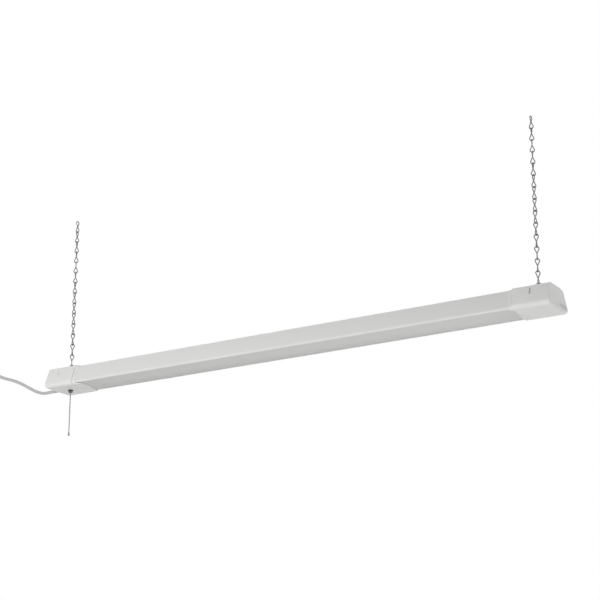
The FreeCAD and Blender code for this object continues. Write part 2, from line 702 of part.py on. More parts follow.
# ---------------------------------------------------------------------------------------------
# Pull switch and its beaded chain
# ---------------------------------------------------------------------------------------------

PLUNGER_TIP = f"({FOOT} - Dim.bush_reach - Dim.eye_reach)"
FIRST_BEAD = f"({PLUNGER_TIP} - Dim.run_gap - Dim.bead_thick / 2)"


def switch_parts():
    case = middle_block(
        "switch_case",
        ["Dim.switch_length", "Dim.switch_width", "Dim.switch_height"],
        [SWITCH_X, SWITCH_Y, f"{SWITCH_FLOOR} + Dim.switch_height / 2"],
    )
    bush = rod("switch_bush", "Dim.bush_thick", "Dim.cap_wall + Dim.bush_reach + Dim.switch_wall",
               [SWITCH_X, SWITCH_Y, f"{FOOT} - Dim.bush_reach"])
    room = middle_block(
        "switch_room",
        ["Dim.switch_length - 2 * Dim.switch_wall", "Dim.switch_width - 2 * Dim.switch_wall",
         "Dim.switch_height"],
        [SWITCH_X, SWITCH_Y, f"{SWITCH_FLOOR} + Dim.switch_wall + Dim.switch_height / 2"],
    )
    bore = rod("switch_bore", "Dim.plunger_thick + 2 * Dim.run_gap", "Dim.cap_height",
               [SWITCH_X, SWITCH_Y, f"{FOOT} - Dim.cap_height / 2"])
    piece("switch_body", cut("switch_body_cut", fused("switch_blank", [case, bush]), [room, bore]))
    piece(
        "switch_cover",
        middle_block(
            "switch_lid",
            ["Dim.switch_length", "Dim.switch_width", "Dim.switch_wall"],
            [SWITCH_X, SWITCH_Y, f"{SWITCH_FLOOR} + Dim.switch_height + Dim.switch_wall / 2"],
        ),
    )
    nut = doc.addObject("Part::Prism", "switch_nut_blank")
    nut.Polygon = 6
    nut.setExpression("Circumradius", "Dim.nut_width / 2")
    nut.setExpression("Height", "Dim.nut_thick")
    place(nut, [SWITCH_X, SWITCH_Y, f"{FOOT} - Dim.nut_thick"])
    nut_hole = rod("switch_nut_hole", "Dim.bush_thick", "3 * Dim.nut_thick",
                   [SWITCH_X, SWITCH_Y, f"{FOOT} - 2 * Dim.nut_thick"])
    piece("switch_nut", cut("switch_nut_cut", nut, [nut_hole]))
    collar_level = f"({FOOT} + Dim.collar_rise)"
    plunger_rod = rod("plunger_rod", "Dim.plunger_thick", f"{collar_level} - {PLUNGER_TIP} + Dim.collar_height",
                      [SWITCH_X, SWITCH_Y, PLUNGER_TIP])
    collar = rod("plunger_collar", "Dim.collar_thick", "Dim.collar_height", [SWITCH_X, SWITCH_Y, collar_level])
    knob_height = f"({FOOT} - Dim.bush_reach - Dim.run_gap) - {PLUNGER_TIP}"
    knob = rod("plunger_knob", "Dim.knob_thick", knob_height, [SWITCH_X, SWITCH_Y, PLUNGER_TIP])
    piece("switch_plunger", fused("switch_plunger_blank", [plunger_rod, collar, knob]))
    piece("switch_spring", return_spring())


def return_spring():
    """A short coil spring round the plunger, between the switch's floor and the collar."""
    wire = number("Dim.spring_wire")
    floor = number(f"{SWITCH_FLOOR} + Dim.switch_wall")
    roof = number(f"{FOOT} + Dim.collar_rise")
    gap = number("Dim.spring_end_gap")
    height = roof - floor - wire - 2 * gap
    radius = number("Dim.plunger_thick") / 2 + wire + number("Dim.spring_room")
    pitch = height / number("Dim.spring_coils")
    helix = Part.makeHelix(pitch, height, radius)
    square = Part.makePolygon(
        [V(radius + wire / 2 * a, 0, wire / 2 * b) for a, b in ((1, 1), (-1, 1), (-1, -1), (1, -1), (1, 1))]
    )
    coil = Part.Wire(helix.Edges).makePipeShell([square], True, True)
    coil.translate(V(number(SWITCH_X), number(SWITCH_Y), floor + wire / 2 + gap))
    return solid("switch_spring_coil", coil)


BEAD_SIDES = 8


def faceted_ball(level, thick):
    """A bead with flat facets, by a ruled loft through three eight-sided rings."""
    rings = []
    for rise, share in ((-0.5, 0.45), (-0.2, 0.98), (0.2, 0.98), (0.5, 0.45)):
        points = [
            V(
                thick / 2 * share * math.cos(2 * math.pi * i / BEAD_SIDES),
                thick / 2 * share * math.sin(2 * math.pi * i / BEAD_SIDES),
                level + thick * rise,
            )
            for i in range(BEAD_SIDES)
        ]
        rings.append(Part.makePolygon(points + points[:1]))
    return Part.makeLoft(rings, True, True)


def pull_chain_parts():
    thick, pitch = number("Dim.bead_thick"), number("Dim.bead_pitch")
    first = number(FIRST_BEAD)
    count = int(number("Dim.bead_count"))
    x, y = number(SWITCH_X), number(SWITCH_Y)
    coupler = faceted_ball(first, thick)
    coupler.translate(V(x, y, 0))
    piece("pull_coupler", solid("pull_coupler_bead", coupler))
    balls = [faceted_ball(first - pitch * (i + 1), thick) for i in range(count)]
    last = first - pitch * count
    top = first - thick / 2 - number("Dim.run_gap")
    wire = Part.makeCylinder(number("Dim.bead_wire") / 2, top - last, V(0, 0, last))
    string = balls[0].multiFuse(balls[1:] + [wire])
    string.translate(V(x, y, 0))
    piece("pull_chain", solid("pull_chain_beads", string))
    end_top = last - thick / 2
    bell = taper("pull_end_bell", "Dim.pull_end_thick", "Dim.bead_thick", "Dim.pull_end_length",
                 [SWITCH_X, SWITCH_Y, f"{end_top} - Dim.pull_end_length"])
    piece("pull_chain_end", bell)


# ---------------------------------------------------------------------------------------------
# Driver and wiring in the space above the tray
# ---------------------------------------------------------------------------------------------

DRIVER_X = "(-Dim.driver_from_middle)"
DRIVER_FLOOR = TRAY_TOP
CAN_PLACES = (-0.37, -0.24, 0.29)
CONNECTOR_ROWS = (-1, 0, 1)
CONNECTOR_X = f"({DRIVER_X} - Dim.driver_length / 2 - Dim.connector_shift)"
CONNECTOR_LEVEL = f"({TRAY_TOP} + Dim.connector_thick / 2)"


def driver_parts():
    body_height = "(Dim.driver_height - Dim.driver_wall)"
    shell = block(
        "driver_shell",
        ["Dim.driver_length", "Dim.driver_width", body_height],
        [f"{DRIVER_X} - Dim.driver_length / 2", "-Dim.driver_width / 2", DRIVER_FLOOR],
    )
    room = block(
        "driver_room",
        ["Dim.driver_length - 2 * Dim.driver_wall", "Dim.driver_width - 2 * Dim.driver_wall", body_height],
        [f"{DRIVER_X} - Dim.driver_length / 2 + Dim.driver_wall", "-Dim.driver_width / 2 + Dim.driver_wall",
         f"{DRIVER_FLOOR} + Dim.driver_wall"],
    )
    piece("driver_case", cut("driver_case_cut", shell, [room]))
    piece(
        "driver_lid",
        block(
            "driver_lid_plate",
            ["Dim.driver_length", "Dim.driver_width", "Dim.driver_wall"],
            [f"{DRIVER_X} - Dim.driver_length / 2", "-Dim.driver_width / 2", f"{DRIVER_FLOOR} + {body_height}"],
        ),
    )
    board_level = f"({DRIVER_FLOOR} + Dim.driver_wall)"
    piece(
        "driver_board",
        block(
            "driver_board_plate",
            ["Dim.driver_length - 2 * (Dim.driver_wall + Dim.driver_board_gap)",
             "Dim.driver_width - 2 * Dim.driver_wall - Dim.driver_board_gap", "Dim.board_thick"],
            [f"{DRIVER_X} - Dim.driver_length / 2 + Dim.driver_wall + Dim.driver_board_gap",
             "-Dim.driver_width / 2 + Dim.driver_wall + Dim.driver_board_gap / 2", board_level],
        ),
    )
    on_board = f"({board_level} + Dim.board_thick)"
    middle = [f"{DRIVER_X} + Dim.core_shift", "0", f"{on_board} + Dim.core_height / 2"]
    core = middle_block("transformer_core", ["Dim.core_length", "Dim.core_width", "Dim.core_height"], middle)
    winding = middle_block(
        "transformer_winding", ["Dim.winding_length", "Dim.winding_width", "Dim.winding_height"], middle
    )
    piece("driver_transformer", fused("driver_transformer_blank", [core, winding]))
    cans = [
        rod(f"capacitor_{i}", "Dim.can_thick", "Dim.can_length",
            [f"{DRIVER_X} + Dim.driver_length * {share}", "-Dim.can_offset", f"{on_board} + Dim.can_thick / 2"], TO_X)
        for i, share in enumerate(CAN_PLACES, start=1)
    ]
    piece("driver_capacitors", group("driver_capacitor_cans", cans))
    piece(
        "wire_connectors",
        group(
            "wire_connector_caps",
            [
                taper(f"wire_connector_{row}", "Dim.connector_thick", "Dim.connector_tip", "Dim.connector_length",
                      [CONNECTOR_X, f"Dim.connector_pitch * ({row})", CONNECTOR_LEVEL], TO_X)
                for row in CONNECTOR_ROWS
            ],
        ),
    )


# ---------------------------------------------------------------------------------------------
# Cords and leads: straight runs joined by tangent arcs
# ---------------------------------------------------------------------------------------------


def route_wire(points):
    """The path through a route: each arc is as large as its two runs allow. Prints the radii."""
    edges, radii, start = [], [], points[0]
    for before, here, after in zip(points, points[1:], points[2:]):
        first, second = (here - before), (after - here)
        turn = first.getAngle(second)
        reach = 0.45 * min(first.Length, second.Length)
        radii.append(reach / math.tan(turn / 2))
        one, two = here - first.normalize() * reach, here + second.normalize() * reach
        inward = (one + two) * 0.5 - here
        far = radii[-1] / math.cos(turn / 2)
        middle = here + inward.normalize() * (far - radii[-1])
        edges += [Part.LineSegment(start, one).toShape(), Part.Arc(one, middle, two).toShape()]
        start = two
    edges.append(Part.LineSegment(start, points[-1]).toShape())
    print("smallest bend radius", round(min(radii), 1), "mm over", len(points), "points")
    return Part.Wire(edges)


def tube(points, thick):
    """A round cord along a route, checked against its section times its length."""
    wire = route_wire(points)
    ahead = (points[1] - points[0]).normalize()
    circle = Part.Wire([Part.makeCircle(thick / 2, points[0], ahead)])
    shape = wire.makePipeShell([circle], True, False)
    expected = math.pi * thick**2 / 4 * wire.Length
    print("length", round(wire.Length, 1), "mm, volume", round(shape.Volume / expected, 4), "of expected")
    return shape, wire.Length


# The mains cord's route beyond the left end face: (out from the face, behind the middle,
# above the cap's bottom). It dips, then climbs towards a ceiling outlet.
CORD_ROUTE = [
    (26, 20, 10),
    (40, 19.46, 9.46),
    (52, 18.8, 8.6),
    (64.5, 17.3, 11.4),
    (77, 15, 16.8),
    (90, 12, 24),
    (103, 9, 31.8),
    (116, 6, 39),
    (129.5, 3, 45),
    (147, 0, 50.5),
    (166, -2, 57.5),
    (184, -3, 68),
    (200, -3.5, 83),
    (213, -3.5, 103),
    (223, -3.5, 128),
    (229, -3.5, 155),
    (230, -3.5, 185),
    (230, -3.5, 215.001),
]
LEAD_ROUTE = [
    (230, 3.5, 215),
    (231.5, 3.5, 240),
    (230, 3, 265),
    (231, 1.2, 290),
    (231, 1.2, 314),
]


def cord_point(place_on_route):
    out, back, up = place_on_route
    return V(-number(END) - out, back, number(FOOT) + up)


def cord_parts():
    thick = number("Dim.cord_thick")
    route = [cord_point(p) for p in CORD_ROUTE]
    lead = [cord_point(p) for p in LEAD_ROUTE]
    cord, cord_length = tube(route, thick)
    piece("power_cord", solid("power_cord_tube", cord))
    upper, upper_length = tube(lead, thick)
    piece("plug_lead", solid("plug_lead_tube", upper))
    coil_x = route[-1].x - number("Dim.coil_radius") - thick / 2
    coil_z = route[-1].z
    coil = doc.addObject("Part::Torus", "cord_coil_ring")
    coil.setExpression("Radius1", "Dim.coil_radius")
    coil.setExpression("Radius2", "Dim.coil_bundle")
    place(coil, [str(coil_x), "0", str(coil_z)], TO_Y)
    piece("cord_coil", coil)
    coiled = 2 * math.pi * number("Dim.coil_radius * Dim.coil_turns")
    print("cord", round(cord_length + upper_length + coiled), "mm with its coil")
    band_low = str(coil_z - number("Dim.coil_radius"))
    band = rod("tie_band", "2 * (Dim.coil_bundle + Dim.fit_gap + Dim.tie_thick)", "Dim.tie_width",
               [f"{coil_x} - Dim.tie_width / 2", "0", band_low], TO_X)
    bore = rod("tie_bore", "2 * (Dim.coil_bundle + Dim.fit_gap)", "2 * Dim.tie_width",
               [f"{coil_x} - Dim.tie_width", "0", band_low], TO_X)
    piece("cord_tie", cut("cord_tie_cut", band, [bore]))
    plug_parts(lead[-1])
    strain_relief(route[0])


def strain_relief(tip):
    """A block that fills the left cap's cord window, with a tapered sleeve over the cord."""
    filler = middle_block(
        "relief_block",
        ["2 * Dim.cap_wall", "Dim.window_width - 2 * Dim.fit_gap", "Dim.window_height - 2 * Dim.fit_gap"],
        [f"-{END} + Dim.cap_wall", "Dim.window_offset",
         f"{FOOT} + Dim.window_above_foot + Dim.window_height / 2"],
    )
    root = V(-number(END) + number("Dim.fit_gap"), number("Dim.window_offset"),
             number(f"{FOOT} + Dim.window_above_foot + Dim.window_height / 2"))
    along = tip - root
    sleeve = solid(
        "relief_sleeve",
        Part.makeCone(number("Dim.relief_root / 2"), number("Dim.relief_tip / 2"), along.Length, root, along),
    )
    piece("cord_strain_relief", fused("cord_strain_relief_blank", [filler, sleeve]))


def plug_parts(neck_end):
    """A grounded three-pin plug that points up, with its tapered neck."""
    x, y = str(neck_end.x), str(neck_end.y)
    face = "(-Dim.plug_below_top)"
    body = rod("plug_round", "Dim.plug_thick", "Dim.plug_height", [x, y, f"{face} - Dim.plug_height"])
    neck_length = number(f"{face} - Dim.plug_height") - neck_end.z
    neck = taper("plug_taper", "Dim.neck_tip", "Dim.neck_root", str(neck_length), [x, y, str(neck_end.z)])
    piece("plug_body", fused("plug_blank", [body, neck]))
    blades = [
        middle_block(f"blade_{name}", ["Dim.blade_thick", "Dim.blade_width", "Dim.blade_length"],
                     [f"{x} {shift} Dim.blade_spread / 2", f"{y} - Dim.blade_offset", f"{face} + Dim.blade_length / 2"])
        for name, shift in (("left", "-"), ("right", "+"))
    ]
    piece("plug_blades", group("plug_blade_pair", blades))
    piece("plug_ground_pin", rod("ground_pin_rod", "Dim.pin_thick", "Dim.pin_length", [x, f"{y} + Dim.pin_offset", face]))


# The three wires inside the left cap, from the relief block over the tray's end to the open
# ends of the connectors: (from the relief block, behind the middle, fan, up from the tray).
LEAD_BENDS = [
    (14, 25, 0.2, -12),
    (34, 25, 0.2, 5.5),
    (80, 12, 0.6, 5.7),
]


def mains_leads():
    """The cord's three wires inside, from the relief block to the connectors over the tray."""
    window = number(f"{FOOT} + Dim.window_above_foot + Dim.window_height / 2")
    deck = number(CONNECTOR_LEVEL)
    tray = number(TRAY_TOP)
    start_x = -number(END) + 2 * number("Dim.cap_wall")
    end_x = number(CONNECTOR_X) - number("Dim.lead_thick") / 30
    pitch = number("Dim.connector_pitch")
    made = []
    for row in CONNECTOR_ROWS:
        across = row * pitch
        points = [V(start_x, number("Dim.window_offset") + across * 0.3, window)]
        points += [V(start_x + out, back + across * fan, tray + up) for out, back, fan, up in LEAD_BENDS]
        points += [V(end_x - 30, across * 1.02, deck), V(end_x, across, deck)]
        made.append(tube(points, number("Dim.lead_thick"))[0])
    return solid("mains_lead_wires", Part.makeCompound(made))


# ---------------------------------------------------------------------------------------------
# Build, check and write
# ---------------------------------------------------------------------------------------------


def build():
    piece("housing_channel", housing_channel())
    piece("diffuser_lens", diffuser_lens())
    piece("led_tray", led_tray())
    boards()
    for side, sign, minus in (("left", -1, "-"), ("right", 1, "")):
        piece(f"{side}_end_cap", end_cap(side, sign))
        piece(f"{side}_cap_screws", cap_screws(side, minus))
        piece(f"{side}_hanger", hanger(side, minus))
    piece(
        "end_blank",
        middle_block(
            "end_blank_block",
            ["Dim.cap_wall", "Dim.window_width - 2 * Dim.fit_gap", "Dim.window_height - 2 * Dim.fit_gap"],
            [f"{END} - Dim.cap_wall / 2 - Dim.blank_inset", "Dim.window_offset",
             f"{FOOT} + Dim.window_above_foot + Dim.window_height / 2"],
        ),
    )
    switch_parts()
    pull_chain_parts()
    chains()
    driver_parts()
    piece("mains_leads", mains_leads())
    cord_parts()


def write():
    doc.recompute()
    for obj in doc.Objects:
        if "Invalid" in obj.State or "Error" in obj.State:
            raise RuntimeError(f"{obj.Label} did not build: {obj.State}")
    os.makedirs("parts", exist_ok=True)
    for name, obj in PIECES.items():
        shape = obj.Shape
        if shape.isNull() or not shape.isValid():
            raise RuntimeError(f"{name} is not a valid shape")
        shape.exportStep(f"parts/{name}.step")
    print(len(PIECES), "sub-parts written")


build()
write()
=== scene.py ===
"""Looks for the hanging shop light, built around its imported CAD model.

Everything is in metres, in the CAD model's own frame: the origin is half way between the two
points that the chains hang from, +X runs along the light, the front faces -Y and +Z is up.
"""

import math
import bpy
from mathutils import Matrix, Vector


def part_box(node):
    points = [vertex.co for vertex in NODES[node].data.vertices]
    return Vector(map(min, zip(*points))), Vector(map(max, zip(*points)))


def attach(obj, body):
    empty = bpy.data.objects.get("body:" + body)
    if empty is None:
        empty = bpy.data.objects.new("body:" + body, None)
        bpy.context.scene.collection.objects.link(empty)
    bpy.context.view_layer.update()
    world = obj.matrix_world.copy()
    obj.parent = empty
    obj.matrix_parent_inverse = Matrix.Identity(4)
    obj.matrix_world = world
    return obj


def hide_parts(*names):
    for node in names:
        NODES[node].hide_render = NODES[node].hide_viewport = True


bl_info = {
    "name": "Hanging shop light",
    "version": (1, 0, 0),
    "blender": (4, 5, 0),
    "location": "3D View > Sidebar > Shop light",
    "description": "Builds a chain-hung strip light with moulded end caps around its CAD model",
    "category": "Object",
}

import bmesh
import bpy
from mathutils import Matrix, Vector

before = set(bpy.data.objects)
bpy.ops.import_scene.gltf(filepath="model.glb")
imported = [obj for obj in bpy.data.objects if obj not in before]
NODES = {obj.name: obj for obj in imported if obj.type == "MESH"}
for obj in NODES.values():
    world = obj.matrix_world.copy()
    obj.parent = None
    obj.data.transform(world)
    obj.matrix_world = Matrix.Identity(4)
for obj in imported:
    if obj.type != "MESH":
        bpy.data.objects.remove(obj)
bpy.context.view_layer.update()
MM = 0.001
SIDES = (("left", -1), ("right", 1))


# ------------------------------------------------------------
# Sizes of the CAD model
# ------------------------------------------------------------


def middle(name):
    """The middle of a CAD node's box."""
    low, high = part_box(name)
    return (low + high) / 2


# To the end faces, before their edges are rounded.
HALF_LENGTH = 0.6
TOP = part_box("left_end_cap")[1].z
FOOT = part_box("left_end_cap")[0].z
HEIGHT = TOP - FOOT
HOUSING_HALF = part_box("housing_channel")[1].x
LENS_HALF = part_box("diffuser_lens")[1].x
SWITCH = middle("switch_nut")


# ------------------------------------------------------------
# Colours and materials
# ------------------------------------------------------------


def linear(colour):
    """A colour written as an sRGB hex value, in the linear values that shaders take."""
    channels = [int(colour[i : i + 2], 16) / 255 for i in (1, 3, 5)]
    return tuple(c / 12.92 if c <= 0.04045 else ((c + 0.055) / 1.055) ** 2.4 for c in channels) + (1.0,)


def node(tree, kind, settings=None, **inputs):
    """Adds a node. Each input is a value or the output socket that feeds it, and is given by its
    name, with _ for a space, or by its number, as i0 or i1."""
    made = tree.nodes.new(kind)
    for name, value in (settings or {}).items():
        setattr(made, name, value)
    for name, value in inputs.items():
        numbered = name[0] == "i" and name[1:].isdigit()
        socket = made.inputs[int(name[1:]) if numbered else name.replace("_", " ")]
        if isinstance(value, bpy.types.NodeSocket):
            tree.links.new(value, socket)
        else:
            socket.default_value = value
    return made


def finish_material(name, colour, roughness, metallic=0.0, grain_mm=1.0, grain_height_mm=0.02, mottle=0.03,
                    mottle_mm=120, ior=1.5, stretch=(1, 1, 1), rough_spread=0.06):
    """A surface of one linear colour with fine relief, a slow change of tone, and uneven gloss.

    grain_mm is the real size of the relief's grains, and mottle the change of tone either way.
    stretch draws the grains out along an axis where it is below 1.
    """
    material = bpy.data.materials.new(name)
    material.use_nodes = True
    tree = material.node_tree
    shader = tree.nodes["Principled BSDF"]
    shader.inputs["Metallic"].default_value = metallic
    if not metallic:
        shader.inputs["IOR"].default_value = ior
    place = node(tree, "ShaderNodeTexCoord").outputs["Object"]
    drawn = node(tree, "ShaderNodeMapping", Vector=place, Scale=stretch).outputs["Vector"]
    slow = node(tree, "ShaderNodeTexNoise", Vector=place, Scale=1 / (mottle_mm * MM), Detail=3.0)
    tone = node(tree, "ShaderNodeMapRange", Value=slow.outputs["Fac"], To_Min=1 - mottle, To_Max=1 + mottle)
    tint = node(tree, "ShaderNodeVectorMath", {"operation": "SCALE"}, i0=colour[:3],
                Scale=tone.outputs["Result"])
    tree.links.new(tint.outputs["Vector"], shader.inputs["Base Color"])
    grain = node(tree, "ShaderNodeTexNoise", Vector=drawn, Scale=1 / (grain_mm * MM), Detail=2.0)
    gloss = node(tree, "ShaderNodeMapRange", Value=grain.outputs["Fac"], To_Min=roughness - rough_spread,
                 To_Max=roughness + rough_spread)
    tree.links.new(gloss.outputs["Result"], shader.inputs["Roughness"])
    relief = node(tree, "ShaderNodeBump", Height=grain.outputs["Fac"], Strength=0.6,
                  Distance=grain_height_mm * MM)
    tree.links.new(relief.outputs["Normal"], shader.inputs["Normal"])
    return material


def powder_coat():
    # Polyester powder coat on folded steel: baked on, so it shows a faint orange peel of about
    # 2 mm and a soft broad sheen.
    return finish_material("powder_coat_semi_gloss_white", linear("#E9E9E8"), 0.42, grain_mm=2.2,
                           grain_height_mm=0.03, mottle=0.012)


def moulded_abs():
    # Injection-moulded ABS: the tool's fine spark-eroded grain dulls the gloss a little.
    return finish_material("moulded_abs_white", linear("#EBEBEA"), 0.38, grain_mm=0.9, grain_height_mm=0.03,
                           mottle=0.015, mottle_mm=60)


def opal_acrylic():
    # Extruded opal acrylic: die lines run along it, and its frosted skin scatters reflections.
    return finish_material("extruded_opal_acrylic", linear("#DDDDDC"), 0.58, grain_mm=1.6,
                           grain_height_mm=0.05, mottle=0.02, mottle_mm=90, ior=1.49, stretch=(0.02, 1, 1))


def zinc_wire_painted_dark():
    # Bright zinc plating on drawn wire with a fine grain; its darkened colour and strong blotches are painted
    # dark reflections.
    return finish_material("zinc_plated_wire_painted_dark", linear("#7C7C7B"), 0.34, metallic=1.0, grain_mm=1.2,
                           grain_height_mm=0.03, mottle=0.2, mottle_mm=9, rough_spread=0.12)


def zinc_sheet():
    # Zinc plating on stamped steel, with the rolled sheet's faint lines.
    return finish_material("zinc_plated_sheet", linear("#A9AAAA"), 0.4, metallic=1.0, mottle=0.08,
                           mottle_mm=12, stretch=(1, 1, 0.15))


def nickel_beads():
    # Nickel plating over rolled brass beads: smooth, with a slightly warm grey.
    return finish_material("nickel_plated_beads", linear("#9C9B98"), 0.25, metallic=1.0, grain_mm=0.8,
                           grain_height_mm=0.01, mottle=0.12, mottle_mm=6)


def vinyl_jacket():
    # Extruded PVC cord jacket: satin, with a faint unevenness too fine to show, drawn at 1.5 mm.
    return finish_material("extruded_vinyl_jacket", linear("#C2C2C1"), 0.5, grain_mm=1.5,
                           grain_height_mm=0.003, mottle=0.01, mottle_mm=40, rough_spread=0.02)


def black_nylon():
    # Moulded black nylon: a dull skin with a little moisture bloom.
    return finish_material("moulded_black_nylon", linear("#1E1E1E"), 0.5, grain_mm=0.8, grain_height_mm=0.03,
                           mottle=0.15, mottle_mm=10)


def grey_plastic():
    # Moulded light grey plastic, a little darker and duller than the caps that it sits in.
    return finish_material("moulded_grey_plastic", linear("#DCDCDB"), 0.5, grain_mm=0.8, mottle=0.04,
                           mottle_mm=20)


def plated_brass():
    # Nickel plating on drawn brass, worn a little warm where it is rubbed.
    return finish_material("nickel_plated_brass", linear("#A8A49A"), 0.28, metallic=1.0, grain_mm=0.7,
                           grain_height_mm=0.01, mottle=0.08, mottle_mm=8, stretch=(1, 1, 0.2))


# What the housing hides, seen only when the light is opened up. Solder mask is an even satin
# film, phosphor is dull yellow silicone, moulded nylon and phenolic are matt, the ferrite is
# wrapped in dull tape, sleeves and wire insulation are satin, and spring steel is left bright.
INNER_FINISHES = {
    # node: (finish, colour, roughness, metallic)
    "led_board_left": ("white_solder_mask", "#E6E6E0", 0.45, 0),
    "led_board_right": ("white_solder_mask", "#E6E6E0", 0.45, 0),
    "led_chips_left": ("yellow_phosphor", "#E0C04A", 0.5, 0),
    "led_chips_right": ("yellow_phosphor", "#E0C04A", 0.5, 0),
    "board_jumper": ("moulded_white_nylon", "#E4E4E0", 0.5, 0),
    "driver_board": ("green_solder_mask", "#2E6B3A", 0.4, 0),
    "driver_transformer": ("taped_ferrite", "#3A3A38", 0.6, 0),
    "driver_capacitors": ("printed_sleeve", "#2A2C34", 0.35, 0),
    "wire_connectors": ("moulded_orange_nylon", "#D9772B", 0.5, 0),
    "mains_leads": ("wire_insulation", "#D8D8D4", 0.5, 0),
    "switch_body": ("moulded_phenolic", "#1A1A1A", 0.5, 0),
    "switch_cover": ("moulded_phenolic", "#1A1A1A", 0.5, 0),
    "switch_spring": ("drawn_spring_steel", "#9A9A98", 0.3, 1),
}


# ------------------------------------------------------------
# Mesh helpers
#
# A shape is a pair: a list of vertices and a list of faces.
# ------------------------------------------------------------

# Edges that turn by more than these degrees stay sharp.
FOLDED_CREASE = 32.0
MOULDED_CREASE = 40.0
WIRE_CREASE = 60.0


def shape_mesh(name, shape):
    """A mesh of a shape, with its faces turned outwards."""
    vertices, faces = shape
    mesh = bpy.data.meshes.new(name)
    mesh.from_pydata([tuple(v) for v in vertices], [], faces)
    mesh.validate()
    turned = bmesh.new()
    turned.from_mesh(mesh)
    bmesh.ops.recalc_face_normals(turned, faces=turned.faces)
    turned.to_mesh(mesh)
    turned.free()
    return mesh


def shade(mesh, crease):
    """Smooths a mesh, but for its edges that are sharper than crease degrees."""
    mesh.polygons.foreach_set("use_smooth", [True] * len(mesh.polygons))
    mesh.set_sharp_from_angle(angle=math.radians(crease))


def add_piece(name, shape, material, body, replaced=(), crease=FOLDED_CREASE):
    """A mesh piece that rides on a body and takes the place of CAD nodes."""
    mesh = shape_mesh(name, shape)
    obj = bpy.data.objects.new(name, mesh)
    bpy.context.scene.collection.objects.link(obj)
    mesh.materials.append(material)
    shade(mesh, crease)
    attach(obj, body)
    if replaced:
        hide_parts(*replaced)
    return obj


def cut_away(obj, shapes, crease=FOLDED_CREASE):
    """Cuts closed shapes out of a piece."""
    mesh = shape_mesh("cutter", joined(shapes))
    cutter = bpy.data.objects.new("cutter", mesh)
    bpy.context.scene.collection.objects.link(cutter)
    cut = obj.modifiers.new("cut", "BOOLEAN")
    cut.operation = "DIFFERENCE"
    cut.solver = "EXACT"
    cut.object = cutter
    graph = bpy.context.evaluated_depsgraph_get()
    result = bpy.data.meshes.new_from_object(obj.evaluated_get(graph))
    obj.modifiers.clear()
    obj.data = result
    shade(result, crease)
    bpy.data.objects.remove(cutter)
    bpy.data.meshes.remove(mesh)


def loft(rings, start="cap", end="cap"):
    """The shape of closed rings of points joined in order. Each end is a "cap" or "open", and
    the end may be "loop", which joins the last ring to the first."""
    count = len(rings[0])
    vertices = [p for ring in rings for p in ring]
    faces = []
    pairs = list(zip(range(len(rings) - 1), range(1, len(rings))))
    if end == "loop":
        pairs.append((len(rings) - 1, 0))
    for a, b in pairs:
        for i in range(count):
            j = (i + 1) % count
            faces.append((a * count + i, a * count + j, b * count + j, b * count + i))
    if start == "cap":
        faces.append(tuple(range(count))[::-1])
    if end == "cap":
        faces.append(tuple((len(rings) - 1) * count + i for i in range(count)))
    return vertices, faces


def joined(shapes):
    """Several shapes as one."""
    vertices, faces = [], []
    for more, polygons in shapes:
        base = len(vertices)
        vertices += more
        faces += [tuple(base + i for i in polygon) for polygon in polygons]
    return vertices, faces


def box_shape(low, high):
    xs, ys, zs = zip(low, high)
    corners = [(xs[i], ys[j], zs[k]) for k in (0, 1) for i, j in ((0, 0), (1, 0), (1, 1), (0, 1))]
    return loft([corners[:4], corners[4:]])


def lathe(profile, axis_point, sides, axis="Z", start="cap", end="cap"):
    """A shape turned about Z or X. profile is (radius, distance along the axis) pairs."""
    rings = []
    for radius, along in profile:
        ring = []
        for i in range(sides):
            angle = 2 * math.pi * i / sides
            a, b = radius * math.cos(angle), radius * math.sin(angle)
            offset = (a, b, along) if axis == "Z" else (along, a, b)
            ring.append(tuple(axis_point[k] + offset[k] for k in range(3)))
        rings.append(ring)
    return loft(rings, start, end)


def smooth_line(points, steps):
    """A Catmull-Rom line through the points."""
    points = [Vector(p) for p in points]
    padded = [2 * points[0] - points[1]] + points + [2 * points[-1] - points[-2]]
    line = []
    for a, b, c, d in zip(padded, padded[1:], padded[2:], padded[3:]):
        for k in range(steps):
            t = k / steps
            line.append(0.5 * (2 * b + (c - a) * t + (2 * a - 5 * b + 4 * c - d) * t * t
                               + (3 * b - a - 3 * c + d) * t ** 3))
    return line + [points[-1]]


def tube(line, radii, sides):
    """A round wire along a line of points, without twist, with a radius for each point."""
    tangents = []
    for i in range(len(line)):
        tangents.append((line[min(i + 1, len(line) - 1)] - line[max(i - 1, 0)]).normalized())
    across = tangents[0].orthogonal().normalized()
    rings = []
    for point, tangent, radius in zip(line, tangents, radii):
        across = (across - tangent * across.dot(tangent)).normalized()
        other = tangent.cross(across)
        rings.append([point + radius * (math.cos(a) * across + math.sin(a) * other)
                      for a in (2 * math.pi * i / sides for i in range(sides))])
    return loft(rings)


def rounded_line(corners, radii, closed):
    """2D corners with each one rounded to its radius."""
    steps = 6
    made = []
    count = len(corners)
    for i, (corner, radius) in enumerate(zip(corners, radii)):
        here = Vector(corner)
        if not radius or (not closed and i in (0, count - 1)):
            made.append(here)
            continue
        back = (Vector(corners[i - 1]) - here).normalized()
        on = (Vector(corners[(i + 1) % count]) - here).normalized()
        half = back.angle(on) / 2
        centre = here + (back + on).normalized() * (radius / math.sin(half))
        start = here + back * (radius / math.tan(half)) - centre
        end = here + on * (radius / math.tan(half)) - centre
        sweep = math.atan2(start.x * end.y - start.y * end.x, start.dot(end))
        for k in range(steps + 1):
            turn = Matrix.Rotation(sweep * k / steps, 2)
            made.append(centre + turn @ start)
    return made


# ------------------------------------------------------------
# The outline across the light
#
# A narrow flat top slopes down to a shoulder on each side, and the long faces spread from there
# to the foot.
# ------------------------------------------------------------

